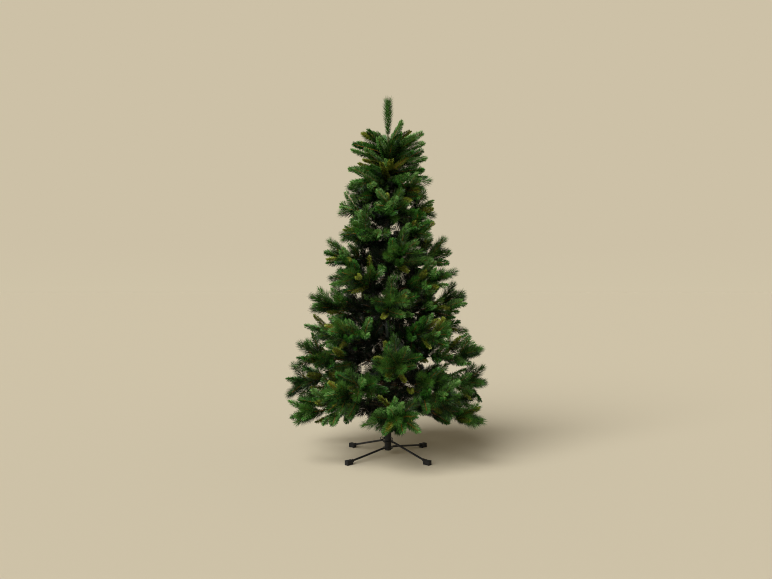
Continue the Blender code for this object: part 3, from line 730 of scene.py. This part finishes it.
def side_tips(frame, beside, at, wanted, owner, rule, kinds):
    """Tips that fan out from one place on a twig, as far as there is room, and few of them down."""
    ahead = frame.col[0].xyz
    root = frame.translation + ahead * at
    turn = rule.uniform(0, 360)
    placed = 0
    for _ in range(HUB_TURNS):
        turn += 360 / HUB_TURNS * rule.choice((2, 3))
        splay = math.radians(rule.uniform(*HUB_SPLAY))
        size = rule.uniform(*TIP_LENGTH)
        around = swung(frame.col[1].xyz, frame.col[2].xyz, math.radians(turn))
        for _ in range(TIP_TRIES):
            direction = swung(ahead, around, splay)
            probe = spots_along(root, direction, size, TIP_SPINE)
            probe.append(probe[1] + around * TIP_WIDTH)
            if direction.z < LOWEST_SIDE and root.z > HANGS_BELOW:
                break
            if in_own_space(probe, owner, -CROSSES, TIP_OUTSIDE):
                kind = drawn_kind(rule, kinds)
                if kind == beside == MOULDED:
                    kind = SOFT
                beside = MOULDED if MOULDED in (kind, beside) else kind
                add_tip(root, direction, size, TIP_BARE, kind, rule)
                placed += 1
                break
            splay *= TIP_NEARER
            size *= TIP_SHORTER
        if placed == wanted:
            return


def grow(frame, kind, length, owner, rule):
    """A twig's own needles and the tips on it."""
    start = frame.translation
    ahead = frame.col[0].xyz
    hub = length - HUB_BACK
    if hub > SHORTEST_HUB:
        add_tip(start, ahead, hub, TWIG_BARE, SOFT, rule, HUB_DENSITY)
        add_tip(start + ahead * hub, ahead, HUB_BACK, 0.0, kind, rule)
    else:
        add_tip(start, ahead, length, TWIG_BARE, kind, rule)
    end = start + ahead * length
    at_end = end.xy.length > AT_END * crown_radius(end.z)
    wanted = (4 if start.z < HANGS_BELOW else 3) if at_end else 2
    kinds = END_KINDS if at_end else SIDE_KINDS
    side_tips(frame, kind, max(hub, LOWEST_HUB * length), wanted, owner, rule, kinds)
    if hub > FORKS_AGAIN:
        side_tips(frame, kind, FORKS_AT * hub, 1, owner, rule, SIDE_KINDS)


INNER = (0.018, 0.036, 0.056, 0.078, 0.102, 0.130, 0.160)  # lengths along the branch
INNER_TURN, INNER_TRIES, INNER_SPLAY, INNER_LENGTH = 97, 4, (60, 100), (0.085, 0.125)
INNER_SPINE, INNER_CROSSES, POLE_SPINE, POLE_CLEAR = (0.5, 0.8, 1.0), 0.030, (0.3, 0.6, 1.0), 0.022
INNER_KINDS, INNER_DENSITY = ((SOFT, 0.7), (PINE, 1.0)), 0.66


def inner_tips(line, owner, rule):
    """Short tips that clothe a branch near the pole."""
    turn = rule.uniform(0, 360)
    for along in INNER:
        place, ahead = spot_on(line, along)
        level = level_across(ahead)
        above = ahead.cross(level)
        for _ in range(INNER_TRIES):
            turn += INNER_TURN
            splay = math.radians(rule.uniform(*INNER_SPLAY))
            size = rule.uniform(*INNER_LENGTH)
            direction = swung(ahead, swung(level, above, math.radians(turn)), splay)
            clear = min(spot.xy.length for spot in spots_along(place, direction, size, POLE_SPINE))
            probe = spots_along(place, direction, size, INNER_SPINE)
            if clear > POLE_CLEAR and in_own_space(probe, owner, -INNER_CROSSES):
                kind = drawn_kind(rule, INNER_KINDS)
                add_tip(place, direction, size, TIP_BARE, kind, rule, INNER_DENSITY)
                break


MORE_COUNT, MORE_FIRST, MORE_TURN, MORE_TRIES, MORE_SHORTER = 34, 40, 222.5, 5, 0.92
MORE_HEIGHTS, MORE_SPLAY, MORE_LENGTH, MORE_DRAW = (1.332, 1.562), (80, 57), (0.200, 0.165), (0.92, 1.06)
MORE_SPINE, MORE_OUTSIDE, MORE_CEILING = (0.5, 0.8, 1.0), 1.04, 1.640
TOP_LOWER, TOP_LONGER, TOP_FULLER = 0.24, 1.13, 1.36
TOP_KINDS = (SOFT, SOFT, SOFT, SOFT, MOULDED, MOULDED, PINE)


def between_ring(owner, rule):
    """More twigs under the leader, in among the ring's."""
    found = []
    for number in range(MORE_COUNT):
        share = number / (MORE_COUNT - 1)
        out = bearing(MORE_TURN * number + MORE_FIRST)
        splay = math.radians(between(MORE_SPLAY, share) + rule.uniform(-SPLAY_DRAW, SPLAY_DRAW))
        length = between(MORE_LENGTH, share) * rule.uniform(*MORE_DRAW)
        frame = twig_frame(Vector((0, 0, between(MORE_HEIGHTS, share))), swung(UP, out, splay), 0.0)
        for _ in range(MORE_TRIES):
            probe = [frame @ Vector((length * s, 0, 0)) for s in MORE_SPINE]
            if in_own_space(probe, owner, -2 * CROSSES, MORE_OUTSIDE) and probe[-1].z < MORE_CEILING:
                found.append((frame, SOFT, length))
                break
            length *= MORE_SHORTER
    return found


for owner, (branch, line) in enumerate(wires.items()):
    rule = random.Random(SEED + 31 * owner)
    inner_tips(line, owner, rule)
    if branch in wire_tiers:
        for twig in branch_twigs(line, wire_tiers[branch], owner):
            grow(*twig, owner, rule)
        continue
    top_twigs = [twig for twig in ring if in_own_space(twig_outline(*twig), owner)]
    for root, _, length in top_twigs + between_ring(owner, rule):
        ahead = root.col[0].xyz - Vector((0, 0, TOP_LOWER))
        kind = rule.choice(TOP_KINDS)
        add_tip(root.translation, ahead, TOP_LONGER * length, TOP_BARE, kind, rule, TOP_FULLER)


# --- Needles ---------------------------------------------------------------------
# Three kinds: soft flat strips cut from film, long stiff pine needles that fan out at a
# twig's end, and short plump moulded ones. All are wound between the strands of the wire.

NEEDLES = {  # needles for each metre of wire, length, width, lean at the foot and tip, bare top, widest
    SOFT: (3250, 0.0315, 0.0022, (62, 50), 46, 0.73),
    PINE: (2500, 0.0520, 0.0016, (46, 34), 0, 0.55),
    MOULDED: (3400, 0.0210, 0.0029, (64, 52), 44, 0.75),
    LEADER: (6200, 0.0500, 0.0013, (48, 33), 0, 0.50),
    GARLAND: (5200, 0.0150, 0.0023, (60, 48), 0, 0.55),
}
# Besides tone that differs at random, the tones of a kind are lit and shaded copies of one colour: the
# dark ones are painted shade and the light ones painted light. The near-black SHADED tones are painted
# shade for tips deep in the crown.
TONES = {  # plain colours of each kind, from dark to light
    SHADED: ((0.0012, 0.0070, 0.0005), (0.0012, 0.0070, 0.0005)),
    SOFT: ((0.0015, 0.0075, 0.0006), (0.015, 0.084, 0.006), (0.054, 0.198, 0.022), (0.190, 0.370, 0.100)),
    PINE: ((0.006, 0.026, 0.003), (0.058, 0.160, 0.020)),
    MOULDED: ((0.095, 0.135, 0.010), (0.290, 0.350, 0.050)),
}
FOLD, ROLLS, BENDS = 0.35, 0.6, 0.35
COMBED, COMB_TURN, COMB_SPREAD = 0.36, 80, 14  # needles that stand out to either side
FEWEST, ENDS_SHORT, LEAN_SPREAD, CLOSES = 8, 0.55, 4, 9
SWELL, SWELL_END, LEADER_SWELL, NEEDLE_DRAW = (0.62, 3.0), 0.24, (0.45, 1.1), (0.86, 1.06)
needle_rule = np.random.default_rng(SEED)


def wire_point(start, direction, droop, along):
    """Places on a gently bent twig."""
    bend = np.array((0.0, 0.0, -BENDS * droop))
    return start + along[:, None] * direction + (along**2)[:, None] * bend


def folded_strips(root, out, reach, across, around, width, widest):
    """Corners of needles that are creased along the middle and widest part of the way up."""
    flat = across + ROLLS * needle_rule.normal(0, 1, len(root))[:, None] * around
    flat -= out * (flat * out).sum(axis=1)[:, None]
    flat /= np.linalg.norm(flat, axis=1)[:, None]
    under = np.cross(out, flat)
    middle = root + out * (reach * widest) + under * (FOLD * width)
    half = flat * width / 2
    return np.stack([root, middle - half, root + out * reach, middle + half], axis=1)


def needle_strips(start, direction, length, bare, kind, droop, face, density=1.0):
    """Corners of every needle on one tip, as (needles, 4, 3)."""
    per_metre, size, width, (foot_lean, end_lean), bare_top, widest = NEEDLES[kind]
    ended = length - ENDS_SHORT * size
    count = max(FEWEST, int(per_metre * density * (ended - bare)))
    share = (np.arange(count) + needle_rule.random(count)) / count
    along = bare + share * (ended - bare)
    root = wire_point(start, direction, droop, along)
    ahead = direction + 2 * along[:, None] * np.array((0.0, 0.0, -BENDS * droop))
    ahead /= np.linalg.norm(ahead, axis=1)[:, None]
    other = np.cross(ahead, face)
    other /= np.linalg.norm(other, axis=1)[:, None]
    top = np.cross(other, ahead)
    side = np.where(needle_rule.random(count) < 0.5, -1.0, 1.0)
    turn = bare_top + (180 - bare_top) * needle_rule.random(count)
    if bare_top:
        combed = needle_rule.random(count) < COMBED
        turn = np.where(combed, needle_rule.normal(COMB_TURN, COMB_SPREAD, count), turn)
    turn = np.radians(side * turn)[:, None]
    around = top * np.cos(turn) + other * np.sin(turn)
    tangent = -top * np.sin(turn) + other * np.cos(turn)
    lean = foot_lean + (end_lean - foot_lean) * share + needle_rule.normal(0, LEAN_SPREAD, count)
    if kind != LEADER:
        lean *= 1 - share**CLOSES * needle_rule.random(count)
    lean = np.radians(lean)[:, None]
    out = ahead * np.cos(lean) + around * np.sin(lean)
    at_foot, rises = LEADER_SWELL if kind == LEADER else SWELL
    swell = np.clip(at_foot + rises * share, 0, 1)
    if kind != LEADER:
        swell = swell * (1 - SWELL_END * share**4)
    reach = size * (swell * needle_rule.uniform(*NEEDLE_DRAW, count))[:, None]
    return folded_strips(root, out, reach, tangent, around, width, widest)


def strips_piece(name, corners):
    """One mesh of loose four-cornered strips."""
    count = len(corners)
    first = 4 * np.arange(count, dtype=np.int32)[:, None]
    halves = np.concatenate([first + (0, 1, 2), first + (0, 2, 3)], axis=1)
    mesh = bpy.data.meshes.new(name)
    mesh.vertices.add(4 * count)
    mesh.vertices.foreach_set("co", corners.astype(np.float32).ravel())
    mesh.loops.add(6 * count)
    mesh.loops.foreach_set("vertex_index", halves.astype(np.int32).ravel())
    mesh.polygons.add(2 * count)
    mesh.polygons.foreach_set("loop_start", np.arange(0, 6 * count, 3, dtype=np.int32))
    mesh.update()
    mesh.validate()
    piece = bpy.data.objects.new(name, mesh)
    bpy.context.scene.collection.objects.link(piece)
    return piece


PLASTIC_PATCHES, PLASTIC_PATCH_ENDS, PLASTIC_GLOSS = (60.0, 3.0), (0.35, 0.65), (0.26, 0.44)
PLASTIC_CRINKLE, PLASTIC_GRAIN, PLASTIC_SPECULAR = (700.0, 1.0), 0.00012, 0.45


def needle_plastic(name, colour):
    """Plastic of one plain colour, glossier in places, with a finely crinkled skin."""
    made, shader, _ = glossy_finish(
        name, PLASTIC_PATCHES, PLASTIC_PATCH_ENDS, PLASTIC_GLOSS, PLASTIC_CRINKLE, PLASTIC_GRAIN)
    shader.inputs["Base Color"].default_value = (*colour, 1.0)
    shader.inputs["Specular IOR Level"].default_value = PLASTIC_SPECULAR
    return made


# Tips whose middle lies deep in the crown take the near-black SHADED tone as painted shade, all but a
# STRAY share of them.
MIDDLE, INNER_SHARE, HALFWAY, STRAY = 0.6, 0.54, 0.52, 0.16
SOFT_TONES, PICK_SPREAD = (1, 1, 2, 2, 2), 0.85
# Painted shade and light: needles at the foot of a tip go one or two tones darker, and needles near its
# end, needles that point up and tips above UPPER go one tone lighter; LIGHTER is the share made lighter
# anywhere on a tip.
PAINTED_SHADE_FOOT, PAINTED_DEEP_SHADE_FOOT, LIGHTER, PAINTED_LIGHT_END = 0.76, 0.44, 0.16, 0.30
UPPER, PAINTED_LIGHT_UPPER, LIT_FROM_ABOVE = 0.95, 0.12, 0.24
LEADER_LENGTH, LEADER_BACK, LEADER_ON, LEADER_FACE = 0.180, 0.02, 0.006, (0.0, -1.0, 0.0)
LEADER_TONES = ((PINE, 0), (PINE, 1), (SOFT, 2), (PINE, 1))


def middle_of(start, direction, length):
    """The middle of a tip, and whether it is deep inside the crown."""
    middle = start + direction * (MIDDLE * length)
    return middle, middle.xy.length < INNER_SHARE * crown_radius(middle.z) and middle.z < RING_FOOT


batches = {(kind, tone): [] for kind in TONES for tone in range(len(TONES[kind]))}
tone_rule = random.Random(SEED + 5)
for start, direction, length, bare, kind, droop, face, density in tips:
    middle, inner = middle_of(start, direction, length)
    inner = inner and tone_rule.random() > STRAY
    tones = len(TONES[kind])
    tone = tone_rule.choice(SOFT_TONES) if kind == SOFT else tone_rule.randrange(tones)
    strips = needle_strips(
        np.array(start), np.array(direction), length, bare, kind, droop, np.array(face), density)
    # painted shade: every needle of a deep tip goes to the near-black tone
    if inner:
        batches[SHADED, int(middle.z > HALFWAY)].append(strips)
        continue
    # Painted shade at a tip's foot, painted light towards its end, on needles that point up and high in
    # the tree.
    share = np.arange(len(strips)) / len(strips)
    needle = strips[:, 2] - strips[:, 0]
    upward = needle[:, 2] / np.linalg.norm(needle, axis=1)
    pick = 0.5 + PICK_SPREAD * (needle_rule.random(len(strips)) - 0.5) + LIT_FROM_ABOVE * upward
    tone_of = tone - (pick < PAINTED_SHADE_FOOT * (1 - share)) - (pick < PAINTED_DEEP_SHADE_FOOT * (1 - share))
    lighter = LIGHTER + PAINTED_LIGHT_END * share**2 + PAINTED_LIGHT_UPPER * (middle.z > UPPER)
    tone_of = (tone_of + (pick > 1 - lighter)).clip(0, tones - 1)
    for each in range(tones):
        batches[kind, each].append(strips[tone_of == each])
leader_foot = Vector((0, 0, TREE_TOP - LEADER_LENGTH - LEADER_BACK))
strips = needle_strips(
    np.array(leader_foot), np.array(UP), LEADER_LENGTH + LEADER_ON, 0.0, LEADER, 0.0,
    np.array(LEADER_FACE))
for number, place in enumerate(LEADER_TONES):
    batches[place].append(strips[number::len(LEADER_TONES)])
masses = [node for node in frame["nodes"] if node in wires]
for (kind, tone), strips in batches.items():
    piece = strips_piece(f"{kind}_needles_{tone + 1}", np.concatenate(strips))
    piece.data.materials.append(needle_plastic(f"{kind}_plastic_{tone + 1}", TONES[kind][tone]))
    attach(piece, "root")
    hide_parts(*masses)


# --- Wires of the crown --------------------------------------------------------------
# The twisted wires themselves: orange-brown lacquered steel, seen along the middle of
# each tip where the needles part.

WIRE_SIDES, WIRE_RADII, WIRE_STOPS = 3, (0, 0.0014, 0.0013, 0.0012, 0.0010, 0), 0.4
WIRE_FOOT, WIRE_POINT = 0.001, 0.002  # lengths over which it shrinks to a point
ASKEW = (0.31, 0.17, 0.93)  # a way that no wire runs


def round_wire(points, radii, sides, ridge=0.0, phase=0.0):
    """Corners of a thin tube as quads, from rings round each point; a twisted one has two ridges."""
    points, radii = np.array(points, float), np.array(radii, float)
    ahead = np.gradient(points, axis=0)
    ahead /= np.linalg.norm(ahead, axis=1)[:, None]
    side = np.cross(ahead, ASKEW)
    side /= np.linalg.norm(side, axis=1)[:, None]
    other = np.cross(ahead, side)
    rings = []
    for number in range(sides):
        angle = 2 * math.pi * number / sides
        thick = radii * (1 + ridge * np.cos(2 * angle - phase))
        rings.append(points + thick[:, None] * (side * math.cos(angle) + other * math.sin(angle)))
    rings = np.stack(rings)
    following = np.roll(rings, -1, axis=0)
    quads = np.stack([rings[:, :-1], following[:, :-1], following[:, 1:], rings[:, 1:]], axis=2)
    return quads.reshape(-1, 4, 3)


def closed_tubes(name, corners):
    """Tubes joined in one smooth piece, each closed where its end rings shrink to a point."""
    piece = strips_piece(name, corners)
    bpy.ops.object.select_all(action="DESELECT")
    piece.select_set(True)
    bpy.context.view_layer.objects.active = piece
    return finish_piece(piece, degrees=60)


tubes = {"crown_wires": [], "inner_wires": []}
for start, direction, length, _, kind, droop, _, _ in tips:
    _, inner = middle_of(start, direction, length)
    end = length - WIRE_STOPS * NEEDLES[kind][1]
    along = np.array((-WIRE_FOOT, 0, 0.33 * end, 0.67 * end, end, end + WIRE_POINT))
    points = wire_point(np.array(start), np.array(direction), droop, along)
    tubes["inner_wires" if inner else "crown_wires"].append(round_wire(points, WIRE_RADII, WIRE_SIDES))
# The wires of tips deep in the crown get a darker copy of the same lacquer: painted shade, not an older
# or duller finish.
lacquer = needle_plastic("brown_lacquer", (0.270, 0.108, 0.013))
painted_shade_lacquer = needle_plastic("painted_shade_brown_lacquer", (0.050, 0.022, 0.005))
for name, finish in (("crown_wires", lacquer), ("inner_wires", painted_shade_lacquer)):
    piece = closed_tubes(name, np.concatenate(tubes[name]))
    piece.data.materials.append(finish)
    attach(piece, "root")
    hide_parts(*masses)


# --- Branch stems ------------------------------------------------------------------
# Every main wire is two thick strands twisted together and wrapped in brown crepe tape,
# so it shows a slanting ridge all along. It thins as the twigs' wires leave it.

STEM_STEPS, STEM_SIDES, STEM_THICK = 110, 6, (0.0036, 0.0021)
TAPE_TWIST, TAPE_RIDGE = 0.0090, 0.13


def smooth_line(line, steps):
    """A bent wire through the corners of a line."""
    corners = np.array([tuple(p) for p in line])
    at = np.linspace(0, len(corners) - 1, steps)
    whole = np.minimum(at.astype(int), len(corners) - 2)
    t = (at - whole)[:, None]
    slopes = np.gradient(corners, axis=0)
    a, b = corners[whole], corners[whole + 1]
    u, v = slopes[whole], slopes[whole + 1]
    places = (2 * t**3 - 3 * t**2 + 1) * a + (t**3 - 2 * t**2 + t) * u
    return places + (3 * t**2 - 2 * t**3) * b + (t**3 - t**2) * v


stems = []
for line in wires.values():
    points = smooth_line(line, STEM_STEPS)
    along = np.concatenate([[0], np.cumsum(np.linalg.norm(np.diff(points, axis=0), axis=1))])
    thick = np.linspace(*STEM_THICK, STEM_STEPS)
    thick[[0, -1]] = 0
    stems.append(round_wire(points, thick, STEM_SIDES, TAPE_RIDGE, 2 * math.pi * along / TAPE_TWIST))
branch_stems = closed_tubes("branch_stems", np.concatenate(stems))
branch_stems.data.materials.append(needle_plastic("brown_tape", (0.085, 0.045, 0.014)))
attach(branch_stems, "root")
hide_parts(*masses)


# --- Foot garland --------------------------------------------------------------------
# A thin wire of short film needles is wound some three and a half times round the pole over
# the socket, to hide the bare tube. Seven short sprays stand out of it.

GARLAND_FOOT, GARLAND_PITCH, GARLAND_RADIUS = 0.134, 0.034, 0.0198
GARLAND_START, GARLAND_TURNS, GARLAND_WIRE, GARLAND_STEPS, GARLAND_SIDES = -0.6, 3, 0.0018, 90, 6
GARLAND_COUNT, GARLAND_NEEDLE, GARLAND_WIDTH, GARLAND_DRAW = 4600, 0.0165, 0.0022, (0.72, 1.08)
GARLAND_TURN, GARLAND_LEAN, GARLAND_WIDEST = 115, (66, 9), 0.55
SPRAYS, SPRAY_SPOTS, SPRAY_LENGTH, SPRAY_TILT, SPRAY_RISE = 7, 6, 0.036, 0.004, 0.4


def garland_place(turns):
    """A place on the garland's wire, the way ahead, and the way off the pole."""
    angle = 2 * math.pi * turns
    off = np.stack([np.cos(angle), np.sin(angle), 0 * angle], axis=-1)
    level = np.stack([-np.sin(angle), np.cos(angle), 0 * angle], axis=-1)
    ahead = 2 * math.pi * GARLAND_RADIUS * level + np.array((0, 0, GARLAND_PITCH))
    height = GARLAND_FOOT + GARLAND_PITCH * turns
    place = GARLAND_RADIUS * off + np.stack([0 * angle, 0 * angle, height], axis=-1)
    return place, ahead / np.linalg.norm(ahead, axis=-1, keepdims=True), off


root, ahead, off = garland_place(needle_rule.uniform(GARLAND_START, GARLAND_TURNS, GARLAND_COUNT))
other = np.cross(ahead, off)
turn = np.radians(needle_rule.uniform(-GARLAND_TURN, GARLAND_TURN, GARLAND_COUNT))[:, None]
lean = np.radians(needle_rule.normal(*GARLAND_LEAN, GARLAND_COUNT))[:, None]
around = off * np.cos(turn) + other * np.sin(turn)
out = ahead * np.cos(lean) + around * np.sin(lean)
reach = GARLAND_NEEDLE * needle_rule.uniform(*GARLAND_DRAW, GARLAND_COUNT)[:, None]
across = other * np.cos(turn) - off * np.sin(turn)
garland = [folded_strips(root, out, reach, across, around, GARLAND_WIDTH, GARLAND_WIDEST)]
spots = GARLAND_TURNS * SPRAY_SPOTS
for number in range(SPRAYS):
    turns = (2 + number * (spots - 4) // (SPRAYS - 1)) / SPRAY_SPOTS
    root, _, _ = garland_place(np.array(turns))
    out = Vector((root[0], root[1], SPRAY_TILT * (-1) ** number)).normalized()
    direction = (out + Vector((-out.y, out.x, SPRAY_RISE))).normalized()
    face = -outward(Vector(root)).cross(direction).cross(direction).normalized()
    garland.append(needle_strips(
        root, np.array(direction), SPRAY_LENGTH, 0.0, GARLAND, 0.0, np.array(face)))
garland_needles = strips_piece("garland_needles", np.concatenate(garland))
garland_needles.data.materials.append(needle_plastic("garland_film", (0.005, 0.018, 0.004)))
turns = np.linspace(GARLAND_START, GARLAND_TURNS, GARLAND_STEPS)
radii = np.full(GARLAND_STEPS, GARLAND_WIRE)
radii[[0, -1]] = 0
garland_wire = closed_tubes("garland_wire", round_wire(garland_place(turns)[0], radii, GARLAND_SIDES))
garland_wire.data.materials.append(lacquer)
for piece in (garland_needles, garland_wire):
    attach(piece, "root")
    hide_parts("foot_garland")


# --- Studio ------------------------------------------------------------------------
# A plain pale floor that runs out of sight into an evenly pale room, lit softly from the
# front left and a little from the side.

FLOOR_SIZE, FLOOR_HEIGHT, FLOOR_COLOUR = 400, -0.001, (0.6505, 0.5810, 0.4375, 1)
FLOOR_GLOW, PALE_ROOM = (0.6206, 0.5457, 0.3926, 1), (0.6105, 0.5333, 0.3864, 1)
DIM_CEILING = (0.06, 0.06, 0.06, 1)
GLOW_END, WALLS_END, CEILING_FROM = 0.06, 0.42, 0.60  # of the gaze, from 0 level to 1 overhead
LIGHTS = {  # strength, softness in degrees, the way it shines
    "key_light": (3.65, 50, (0.439, 0.627, -0.643)),
    "side_light": (1.10, 12, (1.0, 0.10, 0.03)),
}
CAMERA_PLACE, LENS, SENSOR = (-0.01, -3.5, 0.83), 32.64, 36

studio = start_piece(
    "studio_floor", bpy.ops.mesh.primitive_plane_add, size=FLOOR_SIZE, location=(0, 0, FLOOR_HEIGHT))
bpy.ops.object.mode_set(mode="OBJECT")
floor_paint = bpy.data.materials.new("floor_paint")
floor_paint.use_nodes = True
matt = floor_paint.node_tree.nodes["Principled BSDF"].inputs
matt["Base Color"].default_value = FLOOR_COLOUR
matt["Roughness"].default_value = 1.0
matt["Specular IOR Level"].default_value = 0.0
studio.data.materials.append(floor_paint)

bpy.context.scene.view_settings.view_transform = "Standard"
bpy.context.scene.cycles.denoising_prefilter = "NONE"
bpy.context.scene.cycles.filter_width = 1.0
room = bpy.data.worlds.new("studio_room")
bpy.context.scene.world = room
room.use_nodes = True
nodes, links = room.node_tree.nodes, room.node_tree.links
gaze = nodes.new("ShaderNodeTexCoord")
height = nodes.new("ShaderNodeSeparateXYZ")
links.new(gaze.outputs["Generated"], height.inputs["Vector"])
walls = nodes.new("ShaderNodeValToRGB")
shades = walls.color_ramp.elements
shades[1].position = CEILING_FROM
shades[0].color, shades[1].color = FLOOR_GLOW, DIM_CEILING
for gaze_height in (GLOW_END, WALLS_END):
    shades.new(gaze_height).color = PALE_ROOM
links.new(height.outputs["Z"], walls.inputs["Fac"])
links.new(walls.outputs["Color"], nodes["Background"].inputs["Color"])

for name, (strength, softness, way) in LIGHTS.items():
    sun = bpy.data.lights.new(name, "SUN")
    sun.energy = strength
    sun.angle = math.radians(softness)
    light = bpy.data.objects.new(name, sun)
    bpy.context.scene.collection.objects.link(light)
    light.rotation_euler = Vector(way).to_track_quat("-Z", "Y").to_euler()

camera = bpy.data.cameras.new("camera")
camera.lens = LENS
camera.sensor_width = SENSOR
holder = bpy.data.objects.new("camera", camera)
bpy.context.scene.collection.objects.link(holder)
holder.location = CAMERA_PLACE
holder.rotation_euler = (math.pi / 2, 0, 0)
bpy.context.scene.camera = holder
